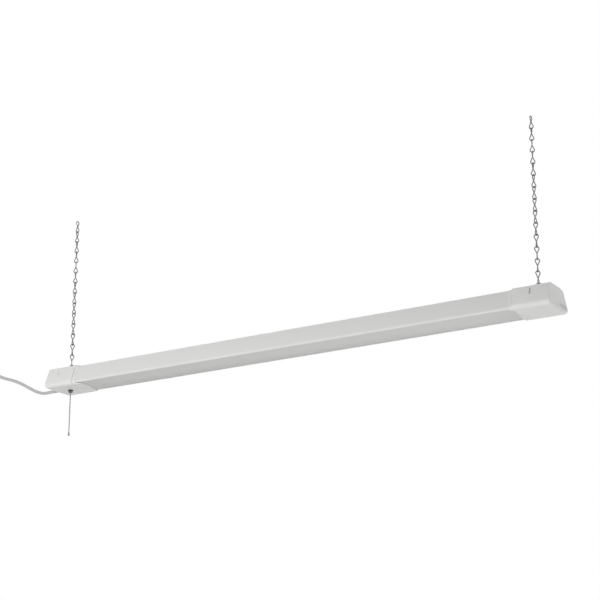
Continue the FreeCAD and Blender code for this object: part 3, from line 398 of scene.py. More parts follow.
FLAT_HALF = 21.5 * MM
SHOULDER_HALF = 34.0 * MM
FOOT_HALF = 46.0 * MM
SHOULDER_DROP = 4.0 * MM
SHOULDER_SLOPE = SHOULDER_DROP / (SHOULDER_HALF - FLAT_HALF)
SIDE_SLOPE = (FOOT_HALF - SHOULDER_HALF) / (HEIGHT - SHOULDER_DROP)
FLAT_ROUND = 6 * MM
UNDERSIDE_STEPS = 24


def outline_corners(inset):
    """The corners of the outline's half at +Y, moved inwards, from the top down: (y, z)."""
    shoulder_stretch = math.hypot(1, SHOULDER_SLOPE)
    side_stretch = math.hypot(1, SIDE_SLOPE)
    flat_y = FLAT_HALF - inset * (shoulder_stretch - 1) / SHOULDER_SLOPE
    top = SHOULDER_HALF - SIDE_SLOPE * SHOULDER_DROP - inset * side_stretch
    shoulder_y = (top + SIDE_SLOPE * (inset * shoulder_stretch - SHOULDER_SLOPE * FLAT_HALF)) / (
        1 - SHOULDER_SLOPE * SIDE_SLOPE)
    shoulder_z = -SHOULDER_SLOPE * (shoulder_y - FLAT_HALF) - inset * shoulder_stretch
    foot_z = -HEIGHT + inset
    foot_y = SHOULDER_HALF + SIDE_SLOPE * (-foot_z - SHOULDER_DROP) - inset * side_stretch
    return [(flat_y, TOP - inset), (shoulder_y, TOP + shoulder_z), (foot_y, TOP + foot_z)]


def mirrored(corners):
    return corners + [(-y, z) for y, z in reversed(corners)]


def cap_outline(inset, foot_round):
    """A closed outline of the cap, with extra points across its flat underside."""
    shoulder_round = 1.6 * MM
    half_radii = [FLAT_ROUND, shoulder_round, foot_round]
    line = rounded_line(mirrored(outline_corners(inset)), half_radii + half_radii[::-1], True)
    half = len(line) // 2
    one, two = line[half - 1], line[half]
    between = [one.lerp(two, k / UNDERSIDE_STEPS) for k in range(1, UNDERSIDE_STEPS)]
    return line[:half] + between + line[half:]


def outward(line):
    """The outward normal at each point of a closed 2D outline."""
    normals = []
    for i in range(len(line)):
        along = (line[(i + 1) % len(line)] - line[i - 1]).normalized()
        normals.append(Vector((-along.y, along.x)))
    centre = sum(line, Vector((0, 0))) / len(line)
    flip = 1 if normals[0].dot(line[0] - centre) > 0 else -1
    return [n * flip for n in normals]


def ear_slot(side, half_width, half_thick, below, above):
    """The slot through a top for the steel ear that a chain hooks into."""
    x = middle(f"{side}_chain").x
    return box_shape((x - half_width, -half_thick, TOP - below), (x + half_width, half_thick, TOP + above))


# ------------------------------------------------------------
# What a user may change
# ------------------------------------------------------------


class CapSizes(bpy.types.PropertyGroup):
    length: bpy.props.FloatProperty(
        name="Cap length", description="Length of each end cap, without its collar", default=78.6 * MM,
        unit="LENGTH")
    foot_round: bpy.props.FloatProperty(
        name="Bottom edge", description="Radius of a cap's long bottom edges", default=8.7 * MM,
        unit="LENGTH")
    end_round: bpy.props.FloatProperty(
        name="End edge", description="Radius of the bottom edge of the end face", default=7 * MM,
        unit="LENGTH")
    draft: bpy.props.FloatProperty(
        name="End draft", description="How far the end face leans in at its top", default=5 * MM,
        unit="LENGTH")
    lean: bpy.props.FloatProperty(
        name="Inner lean", description="How far the inner end leans back at its bottom", default=3.5 * MM,
        unit="LENGTH")
    collar: bpy.props.FloatProperty(
        name="Collar", description="Length of the sloping collar at the sides", default=8 * MM,
        unit="LENGTH")
    left_tongue: bpy.props.FloatProperty(
        name="Left tongue", description="Extra length of the left collar under the diffuser",
        default=9.5 * MM, unit="LENGTH")
    right_tongue: bpy.props.FloatProperty(
        name="Right tongue", description="Extra length of the right collar under the diffuser",
        default=-1.5 * MM, unit="LENGTH")


class ChainSizes(bpy.types.PropertyGroup):
    wire: bpy.props.FloatProperty(
        name="Wire", description="Diameter of the jack chain's wire", default=2.1 * MM, unit="LENGTH")
    ear_room: bpy.props.FloatProperty(
        name="Room at the ear", description="Taken off the wire's radius where it holds the light's ear",
        default=0.16 * MM, unit="LENGTH")
    loop: bpy.props.FloatProperty(
        name="Loop", description="Radius of the middle of a link's loop", default=4.15 * MM, unit="LENGTH")
    link: bpy.props.FloatProperty(
        name="Link", description="Inside length of a link", default=24.5 * MM, unit="LENGTH")
    step: bpy.props.FloatProperty(
        name="Step", description="From link to link", default=24.2 * MM, unit="LENGTH")
    twist: bpy.props.FloatProperty(
        name="Twist", description="Turn of each link on the one above", default=math.radians(10),
        subtype="ANGLE")
    bead: bpy.props.FloatProperty(
        name="Bead", description="Diameter of a bead of the pull chain", default=3.2 * MM, unit="LENGTH")
    pitch: bpy.props.FloatProperty(
        name="Bead pitch", description="From bead to bead", default=4.3 * MM, unit="LENGTH")


class CordSizes(bpy.types.PropertyGroup):
    thick: bpy.props.FloatProperty(
        name="Cord", description="Diameter of the mains cord", default=7 * MM, unit="LENGTH")
    length: bpy.props.FloatProperty(
        name="Cord length", description="Length of the mains cord", default=1.488, unit="LENGTH")
    coil: bpy.props.FloatProperty(
        name="Coil", description="Radius of the middle of the put-away coil", default=42 * MM,
        unit="LENGTH")


class RoomSizes(bpy.types.PropertyGroup):
    floor_drop: bpy.props.FloatProperty(
        name="Floor", description="The floor below the hanging points", default=2.3, unit="LENGTH")
    floor_colour: bpy.props.FloatVectorProperty(
        name="Floor colour", description="Colour of the floor", default=linear("#F4F4F3")[:3], size=3,
        min=0.0, max=1.0, subtype="COLOR")


# ------------------------------------------------------------
# The light's body
# ------------------------------------------------------------


class BuildHousing(bpy.types.Operator):
    """Folds the steel housing"""

    bl_idname = "shoplight.housing"
    bl_label = "Housing"

    def execute(self, context):
        gap, sheet, lip = 3 * MM, 0.8 * MM, 37 * MM
        foot_round, shoulder_round = 3.5 * MM, 1.8 * MM
        outlines = []
        for inset in (gap, gap + sheet):
            half = [(lip, FOOT + inset)] + outline_corners(inset)[::-1]
            less = inset - gap
            half_radii = [0, foot_round - less, shoulder_round - less, FLAT_ROUND - less]
            outlines.append(rounded_line(mirrored(half), half_radii + half_radii[::-1], False))
        around = outlines[0] + outlines[1][::-1]
        rings = [[(x, p.x, p.y) for p in around] for x in (-HOUSING_HALF, HOUSING_HALF)]
        housing = add_piece("housing", loft(rings), powder_coat(), "light",
                            ["housing_channel"])
        cut_away(housing, [ear_slot(side, 6.2 * MM, 0.95 * MM, 8 * MM, 0) for side, _ in SIDES])
        return {"FINISHED"}


class BuildDiffuser(bpy.types.Operator):
    """Extrudes the diffuser that closes the bottom"""

    bl_idname = "shoplight.diffuser"
    bl_label = "Diffuser"

    def execute(self, context):
        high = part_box("diffuser_lens")[1]
        seat = high.z - 1.4 * MM
        across, steps = 28, 6
        # The bulge is shallow at its ends, where the left tongue lies under it, and then deepens.
        shallow, deep = 0.95 * MM, 6.2 * MM
        shallow_from, deepens_over = 503 * MM, 66 * MM
        stations = [(-LENS_HALF, shallow), (-shallow_from, shallow)]
        for k in range(1, steps + 1):
            share = k / steps
            eased = share * share * (3 - 2 * share)
            stations.append((-shallow_from + deepens_over * share, shallow + (deep - shallow) * eased))
        stations += [(-x, sag) for x, sag in reversed(stations)]
        places = [2 * k / across - 1 for k in range(across + 1)]
        rings = []
        for x, sag in stations:
            under = [(x, high.y * place, seat - sag * self.crown(place)) for place in places]
            rings.append([(x, -high.y, high.z)] + under + [(x, high.y, high.z)])
        add_piece("diffuser", loft(rings), opal_acrylic(), "light", ["diffuser_lens"])
        return {"FINISHED"}

    def crown(self, place):
        """Share of the bulge's depth at a place across it, from -1 to 1: full on a soft ridge along
        the middle, and none at the edges."""
        ridge, power = 0.1, 1.2
        fall = (math.hypot(place, ridge) - ridge) / (math.hypot(1, ridge) - ridge)
        return 1 - fall ** power


class BuildEndCaps(bpy.types.Operator):
    """Moulds both end caps, with their collars, slots and cord windows"""

    bl_idname = "shoplight.end_caps"
    bl_label = "End caps"

    def execute(self, context):
        sizes = context.scene.shoplight_caps
        material = moulded_abs()
        for side, sign in SIDES:
            cap = add_piece(f"{side}_cap", loft(self.shell(sign, sizes)), material, "light",
                            [f"{side}_end_cap"], MOULDED_CREASE)
            cut_away(cap, self.openings(side, sign), MOULDED_CREASE)
        return {"FINISHED"}

    def shell(self, sign, sizes):
        """The shell's rings: from the middle of the end face over the outside to the collar's lip,
        and back along the inside."""
        wall, inner_round = 2.85 * MM, 3.7 * MM
        foot, lip = sizes.foot_round, -sizes.collar

        def ring(*place, **more):
            return self.ring(sign, sizes, *place, **more)

        rings = [ring(0, 0, foot, math.radians(a)) for a in (90, 72, 54, 36, 18, 0)]
        # Over the edge of the inner end, into the groove and out of it, and along the collar.
        rings += [
            ring(0, 0.8 * MM, foot),
            ring(0.12 * MM, 0.3 * MM, foot),
            ring(0.45 * MM, 0.02 * MM, foot - 0.4 * MM),
            ring(2.35 * MM, 0.0, foot - 2.3 * MM, ramp=1.6 * MM),
            ring(2.35 * MM, -1.0 * MM, foot - 2.3 * MM, ramp=1.6 * MM),
            ring(1.95 * MM, -1.05 * MM, foot - 1.9 * MM, ramp=1.5 * MM),
            ring(1.85 * MM, -1.4 * MM, foot - 1.8 * MM, ramp=1.5 * MM),
            ring(2.2 * MM, lip + 1.2 * MM, 5.0 * MM, ramp=1.7 * MM),
            ring(2.4 * MM, lip + 0.4 * MM, 4.7 * MM, ramp=1.1 * MM),
            ring(2.7 * MM, lip, 4.3 * MM, ramp=0.2 * MM),
            ring(wall, lip, 3.9 * MM),
            ring(wall, 0.0, inner_round),
        ]
        return rings + [ring(wall, 0, inner_round, math.radians(a), wall) for a in (0, 45, 90)]

    def ring(self, sign, sizes, inset, along, foot_round, turn=None, thick=0.0, ramp=0.0):
        """Points round the cap at a distance along it from its inner end, with an inset. With a
        turn, they lie at that angle round the edge of the end face instead, thick inside it. ramp
        lowers the underside."""
        side_round, least_round = 1.4 * MM, 0.2 * MM
        tongue = sizes.left_tongue if sign < 0 else sizes.right_tongue
        tongue_half, tongue_skew = 37 * MM, 0.15
        line = cap_outline(inset, foot_round)
        points = []
        for (y, z), normal in zip(line, outward(line)):
            down = min(max(-normal.y, 0.0), 1.0)
            z -= ramp * down ** 4
            s = along
            if turn is not None:
                radius = side_round + (sizes.end_round - side_round) * down ** 1.5 - thick
                radius = max(radius, least_round)
                push = radius * (1 - math.cos(turn))
                y, z = y - normal.x * push, z - normal.y * push
                s = sizes.length - thick - radius * (1 - math.sin(turn))
            if s > 0:
                s -= sizes.draft * (z - FOOT) / HEIGHT * s / sizes.length
            elif down > 0.5:
                # Each tongue reaches further on one side, turned round on the other cap.
                share = max(0.0, 1 - abs(y / tongue_half) ** 4) ** 0.5
                s *= 1 + share * (tongue + tongue_skew * sign * y) / sizes.collar
            s += sizes.lean * min(max((TOP - z) / HEIGHT, 0), 1) * min(1, 1 - s / sizes.length)
            points.append((sign * (HALF_LENGTH - sizes.length + s), y, z))
        return points

    def openings(self, side, sign):
        """Cutters for the ear, the slots in the long faces, the cord window and the switch."""
        shapes = [ear_slot(side, 6.3 * MM, 1.05 * MM, 6 * MM, 6 * MM)]
        # A blank slot is sunk into one long face, and the other has one right through.
        half_width, outside = 2 * MM, 60 * MM
        for from_end, face, depth in ((36.5 * MM, sign, 1.3 * MM), (41 * MM, -sign, 20 * MM)):
            x = sign * (HALF_LENGTH - from_end)
            quads = []
            for z in (TOP - 21 * MM, TOP - 9 * MM):
                y = SHOULDER_HALF + SIDE_SLOPE * (TOP - SHOULDER_DROP - z) - depth
                quads.append([(x - half_width, face * y, z), (x + half_width, face * y, z),
                              (x + half_width, face * outside, z), (x - half_width, face * outside, z)])
            shapes.append(loft(quads))
        # The window clears the piece that fills it.
        room = 0.2 * MM
        low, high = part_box("end_blank")
        near, far = sorted(sign * reach for reach in (HALF_LENGTH - 15 * MM, HALF_LENGTH + 20 * MM))
        shapes.append(box_shape((near, low.y - room, low.z - room), (far, high.y + room, high.z + room)))
        if side == "left":
            bush_hole, through = 4.8 * MM, 9 * MM
            profile = [(bush_hole, -through), (bush_hole, through)]
            shapes.append(lathe(profile, (SWITCH.x, SWITCH.y, FOOT), 32))
        return shapes


class BuildScrews(bpy.types.Operator):
    """Turns the pan-head screws on top of the caps"""

    bl_idname = "shoplight.screws"
    bl_label = "Cap screws"

    def execute(self, context):
        material = zinc_sheet()
        # (radius, height over the cap) in millimetres, from the shank's tip to the head's middle.
        screw = [(1.5, -8), (1.5, 0), (3.5, 0.02), (3.5, 0.7), (3.1, 1.4), (2.2, 1.85), (0.9, 2.0),
                 (0.1, 2.0)]
        profile = [(r * MM, z * MM) for r, z in screw]
        head, arm, arm_half = 3.5 * MM, 1.9 * MM, 0.35 * MM
        recess_low, recess_high = TOP + 0.9 * MM, TOP + 3 * MM
        for side, _ in SIDES:
            low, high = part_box(f"{side}_cap_screws")
            shapes, along, across = [], [], []
            for x in (low.x + head, high.x - head):
                shapes.append(lathe(profile, (x, 0, TOP), 28))
                along.append(box_shape((x - arm, -arm_half, recess_low), (x + arm, arm_half, recess_high)))
                across.append(box_shape((x - arm_half, -arm, recess_low), (x + arm_half, arm, recess_high)))
            pair = add_piece(f"{side}_screws", joined(shapes), material, "light",
                             [f"{side}_cap_screws"])
            cut_away(pair, along)
            cut_away(pair, across)
        return {"FINISHED"}


# ------------------------------------------------------------
# Chains and switch
# ------------------------------------------------------------


class BuildChains(bpy.types.Operator):
    """Bends the links of both jack chains"""

    bl_idname = "shoplight.jack_chains"
    bl_label = "Jack chains"

    def execute(self, context):
        sizes = context.scene.shoplight_chains
        link, bottom_link = self.link(sizes, 0), self.link(sizes, sizes.ear_room)
        material = zinc_wire_painted_dark()
        for side, _ in SIDES:
            x = middle(f"{side}_chain").x
            # (part, body, the numbers of its links from the top)
            groups = [("top_link", "ceiling_links", [0]), ("second_link", "swing_links", [1]),
                      ("chain", f"{side}_chain", range(2, 13)), ("bottom_link", "bottom_links", [13])]
            for part, body, numbers in groups:
                shapes = []
                for i in numbers:
                    turn = Matrix.Rotation(math.radians(90) + sizes.twist * i, 3, "Z")
                    waist = Vector((x, 0, -sizes.step * i - sizes.link / 2))
                    points, faces = bottom_link if part == "bottom_link" else link
                    shapes.append(([waist + turn @ v for v in points], faces))
                add_piece(f"{side}_{part}_wire", joined(shapes), material, body,
                          [f"{side}_{part}"], WIRE_CREASE)
        return {"FINISHED"}

    def link(self, sizes, room):
        """One wire: up round the upper loop, through the waist, and round the lower loop, which
        stands across the upper one. Its two ends butt against the waist. The lower loop's wire is
        thinner by room all round."""
        arc_steps, sides = 10, 9
        centre = sizes.link / 2 + sizes.wire / 2 - sizes.loop
        lean = math.asin(sizes.loop / centre)
        upper = [(-0.98 * MM, 0.5 * MM), (-1.35 * MM, 2.0 * MM), (-2.5 * MM, 4.9 * MM)]
        for k in range(arc_steps + 1):
            angle = math.pi + lean - (math.pi + 2 * lean) * k / arc_steps
            upper.append((sizes.loop * math.cos(angle), centre + sizes.loop * math.sin(angle)))
        upper += [(2.5 * MM, 4.9 * MM), (1.35 * MM, 2.0 * MM), (0.98 * MM, 0.7 * MM)]
        line = [(u, 0, z) for u, z in upper]
        line += [(0.7 * MM, 0.7 * MM, 0)]
        line += [(0, -u, -z) for u, z in upper]
        line = smooth_line(line, 2)
        radii = [sizes.wire / 2 - room * min(max(-point.z / sizes.loop, 0), 1) for point in line]
        radii[0] = radii[-1] = sizes.wire * 0.36
        return tube(line, radii, sides)


class BuildSwitch(bpy.types.Operator):
    """Builds what shows of the pull switch: the ring nut and the bush's thread"""

    bl_idname = "shoplight.switch"
    bl_label = "Pull switch"

    def execute(self, context):
        nut_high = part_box("switch_nut")[1].z
        nut_low = nut_high - 1.3 * MM
        add_piece("switch_ring_nut", self.nut(nut_low, nut_high), black_nylon(), "light",
                  ["switch_nut"])
        bush_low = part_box("switch_body")[0].z
        add_piece("switch_bush_thread", self.thread(bush_low, nut_low), nickel_beads(), "light")
        return {"FINISHED"}

    def nut(self, low, high):
        """A six-sided nut with its corners turned down at both faces, and a round hole."""
        reach, sides = 6.3 * MM, 60
        rings = []
        # Each ring's radius is a share of the reach, cut back to the nut's flats.
        for share, z in ((0.9, high), (1.0, high - 0.3 * MM), (1.0, low + 0.5 * MM), (0.88, low), (0.72, low),
                         (0.7, low + 0.3 * MM), (0.7, high)):
            ring = []
            for i in range(sides):
                angle = 2 * math.pi * i / sides
                flat = math.cos(math.pi / 6) / math.cos((angle % (math.pi / 3)) - math.pi / 6)
                radius = reach * min(share, flat)
                ring.append((SWITCH.x + radius * math.cos(angle), SWITCH.y + radius * math.sin(angle), z))
            rings.append(ring)
        return loft(rings, "open", "loop")

    def thread(self, low, high):
        """The end of the bush: a tube with a ridge at each turn of its thread."""
        bore, root, crest, pitch, chamfer = 4.35 * MM, 4.62 * MM, 4.95 * MM, 0.85 * MM, 0.1 * MM
        profile = []
        z = low + chamfer
        while z < high - 0.2 * MM:
            profile += [(root, z + 0.05 * MM), (crest, z + 0.35 * MM), (crest, z + 0.45 * MM),
                        (root, z + 0.75 * MM)]
            z += pitch
        profile += [(bore, profile[-1][1]), (bore, low - chamfer), (4.5 * MM, low - chamfer)]
        return lathe(profile, (SWITCH.x, SWITCH.y, 0), 40, "Z", "open", "loop")


class BuildBeads(bpy.types.Operator):
    """Strings the beaded pull chain"""

    bl_idname = "shoplight.bead_chain"
    bl_label = "Bead chain"

    def execute(self, context):
        sizes = context.scene.shoplight_chains
        material = nickel_beads()
        first = middle("pull_coupler")
        axis = (first.x, first.y, 0)
        add_piece("coupler_bead", self.bead(first, sizes.bead), material, "pull_coupler",
                  ["pull_coupler"], WIRE_CREASE)
        low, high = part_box("pull_chain")
        last = low.z + sizes.bead / 2
        count = round((first.z - last) / sizes.pitch)
        centres = [Vector((first.x, first.y, first.z - sizes.pitch * i)) for i in range(1, count + 1)]
        shapes = [self.bead(centre, sizes.bead) for centre in centres]
        wire, inside = 0.5 * MM, 0.3 * MM
        shapes.append(lathe([(inside, last), (wire, last), (wire, high.z), (inside, high.z)], axis, 10))
        add_piece("pull_beads", joined(shapes), material, "pull_chain", ["pull_chain"],
                  WIRE_CREASE)
        low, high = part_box("pull_chain_end")
        # (radius in millimetres, share of the bell's height)
        bell = [(0.6, 1.0), (1.7, 1.0), (1.9, 0.86), (1.6, 0.74), (1.75, 0.62), (2.25, 0.3), (2.4, 0.1),
                (2.3, 0.0), (1.9, 0.0), (1.7, 0.12), (0.2, 0.2)]
        profile = [(r * MM, low.z + share * (high.z - low.z)) for r, share in bell]
        add_piece("pull_bell", lathe(profile, axis, 28), material, "pull_chain",
                  ["pull_chain_end"], MOULDED_CREASE)
        return {"FINISHED"}

    def bead(self, centre, thick):
        """A bead rolled from strip: round, with a small flat rim at each hole."""
        steps, rim = 10, 76
        profile = []
        for k in range(steps + 1):
            angle = math.radians(-rim + 2 * rim * k / steps)
            profile.append((thick / 2 * math.cos(angle), thick / 2 * math.sin(angle)))
        return lathe(profile, centre, 18)


# ------------------------------------------------------------
# Mains cord
# ------------------------------------------------------------

# The cord's route beyond the left end face, in millimetres: (out from the face, behind the
# middle, above the caps' bottom).
CORD_ROUTE = [
    (26, 20, 10), (40, 19.46, 9.46), (52, 18.8, 8.6), (64.5, 17.3, 11.4), (77, 15, 16.8), (90, 12, 24),
    (103, 9, 31.8), (116, 6, 39), (129.5, 3, 45), (147, 0, 50.5), (166, -2, 57.5), (184, -3, 68),
    (200, -3.5, 83), (213, -3.5, 103), (223, -3.5, 128), (229, -3.5, 155), (230, -3.5, 185),
]
LEAD_ROUTE = [(231.5, 3.5, 240), (230, 3, 265), (231, 1.2, 290), (231, 1.2, 314)]


def cord_point(out, back, up):
    return Vector((-HALF_LENGTH - out * MM, back * MM, FOOT + up * MM))


class BuildCord(bpy.types.Operator):
    """Lays the mains cord with its strain relief, its put-away coil and its plug"""

    bl_idname = "shoplight.mains_cord"
    bl_label = "Mains cord"

    def execute(self, context):
        sizes = context.scene.shoplight_cord
        vinyl = vinyl_jacket()
        points = [cord_point(*p) for p in CORD_ROUTE]
        points += self.coil(sizes)
        points += [cord_point(*p) for p in LEAD_ROUTE]
        curve = bpy.data.curves.new("mains_cord", "CURVE")
        curve.dimensions = "3D"
        curve.bevel_depth = sizes.thick / 2
        curve.bevel_resolution = 6
        curve.resolution_u = 8
        curve.use_fill_caps = True
        spline = curve.splines.new("NURBS")
        spline.points.add(len(points) - 1)
        for point, place in zip(spline.points, points):
            point.co = (*place, 1)
        spline.use_endpoint_u = True
        spline.order_u = 3
        curve.materials.append(vinyl)
        cord = bpy.data.objects.new("mains_cord", curve)
        context.scene.collection.objects.link(cord)
        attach(cord, "light")
        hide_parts("power_cord", "plug_lead", "cord_coil")
        self.relief(points[0], vinyl)
        plug = self.plug(vinyl)
        return {"FINISHED"}

    def coil(self, sizes):
        """Four turns, side by side in two layers, that start and end at the side nearest the
        light. The points stand a little outside the turns, because the line cuts inside them."""
        ring = middle("cord_coil")
        per_turn, outside = 16, 1.012
        half = sizes.thick / 2
        outer, inner = sizes.coil + half, sizes.coil - half
        radii = (outer, inner, inner, outer)
        backs = (-half, -half, half, half)
        made = []
        for k in range(len(radii) * per_turn + 1):
            turn = k / per_turn
            layer = min(int(turn), len(radii) - 1)
            before = max(layer - 1, 0)
            # The cord crosses to its new place in the first quarter of a turn.
            share = min(1.0, (turn - layer) * 4)
            reach = (radii[before] + (radii[layer] - radii[before]) * share) * outside
            back = backs[before] + (backs[layer] - backs[before]) * share
            angle = 2 * math.pi * turn
            made.append(Vector((ring.x + reach * math.cos(angle), back, ring.z + reach * math.sin(angle))))
        return made

    def relief(self, tip, material):
        """A plate that fills the cord window, with a ribbed sleeve that tapers onto the cord."""
        plate_thick, sunk = 5.6 * MM, 1 * MM
        low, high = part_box("end_blank")
        plate = box_shape((-HALF_LENGTH, low.y, low.z), (-HALF_LENGTH + plate_thick, high.y, high.z))
        start, height = -HALF_LENGTH + sunk, (low.z + high.z) / 2
        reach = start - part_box("cord_strain_relief")[0].x
        # (radius in millimetres, share of the reach)
        base, taper, groove, ribs = 4.5, 0.6, 0.55, 6
        sleeve = [(2.0, 0.0), (base, 0.0)]
        for k in range(ribs):
            at = 0.12 + k * 0.14
            out = base - taper * at
            sleeve += [(out, at), (out - groove, at + 0.02), (out - groove, at + 0.06),
                       (out - 0.1, at + 0.08)]
        sleeve += [(3.9, 0.97), (3.6, 1.0), (3.45, 1.0), (2.0, 0.98)]
        profile = [(r * MM, -share * reach) for r, share in sleeve]
        points, faces = lathe(profile, (start, tip.y, height), 24, "X")
        # The sleeve leans to meet the cord's first point.
        slope = (tip.z - height) / reach
        leaning = [(x, y, z + (start - x) * slope) for x, y, z in points]
        add_piece("cord_relief", joined([plate, (leaning, faces)]), material, "light",
                  ["cord_strain_relief"], MOULDED_CREASE)

    def plug(self, material):
        """A moulded plug: a flared body with a rim and finger grips, and a ribbed neck."""
        low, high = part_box("plug_body")
        # (radius, distance below the face with the blades) in millimetres
        body = [(0.5, 0), (12.4, 0), (13.2, 0.8), (13.4, 3), (12.6, 4.2), (12.4, 8), (11.8, 12), (11.9, 16),
                (10.2, 20), (8.2, 23), (7.2, 26)]
        profile = [(r * MM, high.z - down * MM) for r, down in body]
        rib, groove, taper, pitch = 6.8 * MM, 0.6 * MM, 0.32 * MM, 4 * MM
        z = high.z - 28 * MM
        while z > low.z + pitch:
            profile += [(rib, z), (rib - groove, z - 0.6 * MM), (rib - groove, z - 2 * MM),
                        (rib - 0.1 * MM, z - 2.5 * MM)]
            z -= pitch
            rib -= taper
        profile += [(4.0 * MM, low.z), (3.4 * MM, low.z), (0.5 * MM, low.z + 0.5 * MM)]
        axis = ((low.x + high.x) / 2, (low.y + high.y) / 2, 0)
        return add_piece("moulded_plug", lathe(profile, axis, 40), material, "light",
                         ["plug_body"], MOULDED_CREASE)


# ------------------------------------------------------------
# CAD parts that stay as they are
# ------------------------------------------------------------


class FinishCadParts(bpy.types.Operator):
    """Gives every CAD part that stays its finish"""

    bl_idname = "shoplight.cad_parts"
    bl_label = "CAD parts"

    def execute(self, context):
        sheet, coat, black, brass = zinc_sheet(), powder_coat(), black_nylon(), plated_brass()
        finishes = {"left_hanger": sheet, "right_hanger": sheet, "board_screws": sheet, "led_tray": coat,
                    "driver_case": coat, "driver_lid": coat, "cord_tie": black, "plug_blades": brass,
                    "plug_ground_pin": brass, "switch_plunger": brass, "end_blank": grey_plastic()}
        made = {}
        for name, (finish, colour, roughness, metallic) in INNER_FINISHES.items():
            if finish not in made:
                made[finish] = finish_material(finish, linear(colour), roughness, metallic=metallic,
                                               grain_mm=0.8, mottle=0.06, mottle_mm=15)
            finishes[name] = made[finish]
        for name, material in finishes.items():
            mesh = NODES[name].data
            if not mesh.materials:
                mesh.materials.append(material)
            for i in range(len(mesh.materials)):
                mesh.materials[i] = material
        return {"FINISHED"}


# ------------------------------------------------------------
# Room, lamps and camera
# ------------------------------------------------------------

# The camera that fits the photo: its place, its turn and tilt in degrees, and its focal length
# in pixels of the picture.
CAMERA_PLACE = (1.70209, -2.6746, -1.26518)
CAMERA_TURN = 31.92
CAMERA_TILT = 17.29
CAMERA_FOCUS_PX = 1616.33
PICTURE_PX = 600

LAMPS = [
    # name, place, aimed at, width, height, watts
    ("softbox_low_front", (0.6, -1.6, -2.0), (0.15, 0, -0.37), 2.2, 1.0, 13.4),
    ("softbox_front", (0.2, -3.0, -0.9), (0, 0, -0.37), 2.6, 1.2, 13.0),
    ("softbox_left", (-0.75, -1.7, -0.2), (-0.35, 0, -0.37), 1.0, 1.0, 13.0),
    ("softbox_right", (2.6, 0.25, -0.9), (0.55, 0, -0.37), 1.4, 1.4, 11.8),
    ("softbox_above", (0.3, 1.3, 2.1), (0, 0, -0.6), 2.6, 2.0, 70.0),
]


def seen_directly(tree):
    """1 for what the camera, metal and glass see, and 0 for light that falls on the object."""
    path = node(tree, "ShaderNodeLightPath")
    seen = path.outputs["Is Camera Ray"]
    for ray in ("Is Glossy Ray", "Is Transmission Ray"):
        either = node(tree, "ShaderNodeMath", {"operation": "MAXIMUM"}, i0=seen, i1=path.outputs[ray])
        seen = either.outputs[0]
    return seen


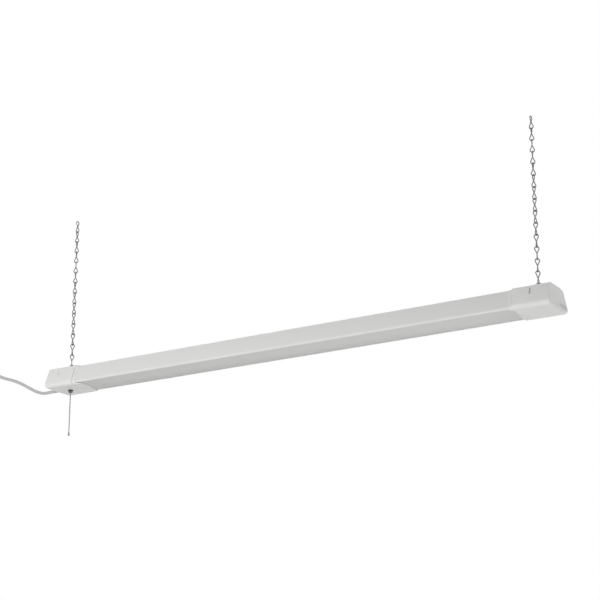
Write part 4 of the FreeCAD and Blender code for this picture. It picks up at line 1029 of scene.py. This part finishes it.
class BuildStage(bpy.types.Operator):
    """Sets the floor, the lamps, the background and the camera"""

    bl_idname = "shoplight.stage"
    bl_label = "Stage"

    def execute(self, context):
        scene = context.scene
        scene.view_settings.view_transform = "Standard"
        self.floor(scene)
        self.lamps(scene)
        self.background(scene)
        self.camera(scene)
        return {"FINISHED"}

    def floor(self, scene):
        room = scene.shoplight_room
        reach, thick, sides = 9.0, 0.02, 96
        profile = [(reach, -room.floor_drop), (reach, -room.floor_drop - thick)]
        vertices, faces = lathe(profile, (0, 0, 0), sides)
        mesh = bpy.data.meshes.new("floor")
        mesh.from_pydata(vertices, [], faces)
        mesh.materials.append(self.floor_paint(room))
        floor = bpy.data.objects.new("floor", mesh)
        scene.collection.objects.link(floor)

    def floor_paint(self, room):
        """Pale painted floor. What the camera sees of it fades into the white background with
        distance, so that it has no hard edge, and its light on the object stays that of paint."""
        fade_from, fade_to = room.floor_drop + 0.3, room.floor_drop + 3.0
        material = finish_material("pale_floor_paint", room.floor_colour, 0.6, grain_mm=6,
                                   grain_height_mm=0.1, mottle=0.01, mottle_mm=600)
        tree = material.node_tree
        shader = tree.nodes["Principled BSDF"]
        place = node(tree, "ShaderNodeTexCoord").outputs["Object"]
        reach = node(tree, "ShaderNodeVectorMath", {"operation": "LENGTH"}, i0=place)
        fade = node(tree, "ShaderNodeMapRange", {"interpolation_type": "SMOOTHSTEP"},
                    Value=reach.outputs["Value"], From_Min=fade_from, From_Max=fade_to)
        share = node(tree, "ShaderNodeMath", {"operation": "MULTIPLY"}, i0=seen_directly(tree),
                     i1=fade.outputs["Result"])
        white = node(tree, "ShaderNodeEmission", Color=linear("#FFFFFF"), Strength=1.0)
        mix = node(tree, "ShaderNodeMixShader", Fac=share.outputs[0], i1=shader.outputs["BSDF"],
                   i2=white.outputs[0])
        tree.links.new(mix.outputs[0], tree.nodes["Material Output"].inputs["Surface"])
        return material

    def lamps(self, scene):
        for name, place, target, width, height, watts in LAMPS:
            lamp = bpy.data.lights.new(name, "AREA")
            lamp.shape = "RECTANGLE"
            lamp.size, lamp.size_y, lamp.energy = width, height, watts
            obj = bpy.data.objects.new(name, lamp)
            obj.location = place
            obj.rotation_euler = (Vector(target) - Vector(place)).to_track_quat("-Z", "Y").to_euler()
            obj.visible_camera = False
            obj.visible_glossy = False
            scene.collection.objects.link(obj)

    def background(self, scene):
        """White where the camera or a reflection looks at it, and a plain soft light otherwise."""
        world = bpy.data.worlds.new("studio")
        world.use_nodes = True
        scene.world = world
        tree = world.node_tree
        tree.nodes.clear()
        soft = node(tree, "ShaderNodeBackground", Color=linear("#FFFFFF"), Strength=0.18)
        white = node(tree, "ShaderNodeBackground", Color=linear("#FFFFFF"), Strength=1.0)
        mix = node(tree, "ShaderNodeMixShader", Fac=seen_directly(tree), i1=soft.outputs[0],
                   i2=white.outputs[0])
        node(tree, "ShaderNodeOutputWorld", Surface=mix.outputs[0])

    def camera(self, scene):
        camera = bpy.data.cameras.new("camera")
        camera.sensor_width = 36
        camera.sensor_fit = "HORIZONTAL"
        camera.lens = camera.sensor_width * CAMERA_FOCUS_PX / PICTURE_PX
        camera.clip_end = 50
        obj = bpy.data.objects.new("camera", camera)
        obj.location = CAMERA_PLACE
        obj.rotation_euler = (math.radians(90 + CAMERA_TILT), 0, math.radians(CAMERA_TURN))
        scene.collection.objects.link(obj)
        scene.camera = obj


# ------------------------------------------------------------
# Panel and registration
# ------------------------------------------------------------

OPERATORS = (BuildHousing, BuildDiffuser, BuildEndCaps, BuildScrews, BuildChains, BuildSwitch, BuildBeads,
             BuildCord, FinishCadParts, BuildStage)
GROUPS = (("shoplight_caps", CapSizes), ("shoplight_chains", ChainSizes), ("shoplight_cord", CordSizes),
          ("shoplight_room", RoomSizes))


class ShopLightPanel(bpy.types.Panel):
    """Sizes, and a button for each piece"""

    bl_idname = "VIEW3D_PT_shoplight"
    bl_label = "Shop light"
    bl_space_type = "VIEW_3D"
    bl_region_type = "UI"
    bl_category = "Shop light"

    def draw(self, context):
        for name, group in GROUPS:
            box = self.layout.box()
            for prop in group.__annotations__:
                box.prop(getattr(context.scene, name), prop)
        for operator in OPERATORS:
            self.layout.operator(operator.bl_idname)


def register():
    for cls in (*(group for _, group in GROUPS), *OPERATORS, ShopLightPanel):
        bpy.utils.register_class(cls)
    for name, group in GROUPS:
        setattr(bpy.types.Scene, name, bpy.props.PointerProperty(type=group))


def unregister():
    for name, _ in GROUPS:
        delattr(bpy.types.Scene, name)
    for cls in (ShopLightPanel, *reversed(OPERATORS), *(group for _, group in GROUPS)):
        bpy.utils.unregister_class(cls)


def main():
    register()
    for operator in OPERATORS:
        group, name = operator.bl_idname.split(".")
        getattr(getattr(bpy.ops, group), name)()


if __name__ == "__main__":
    main()
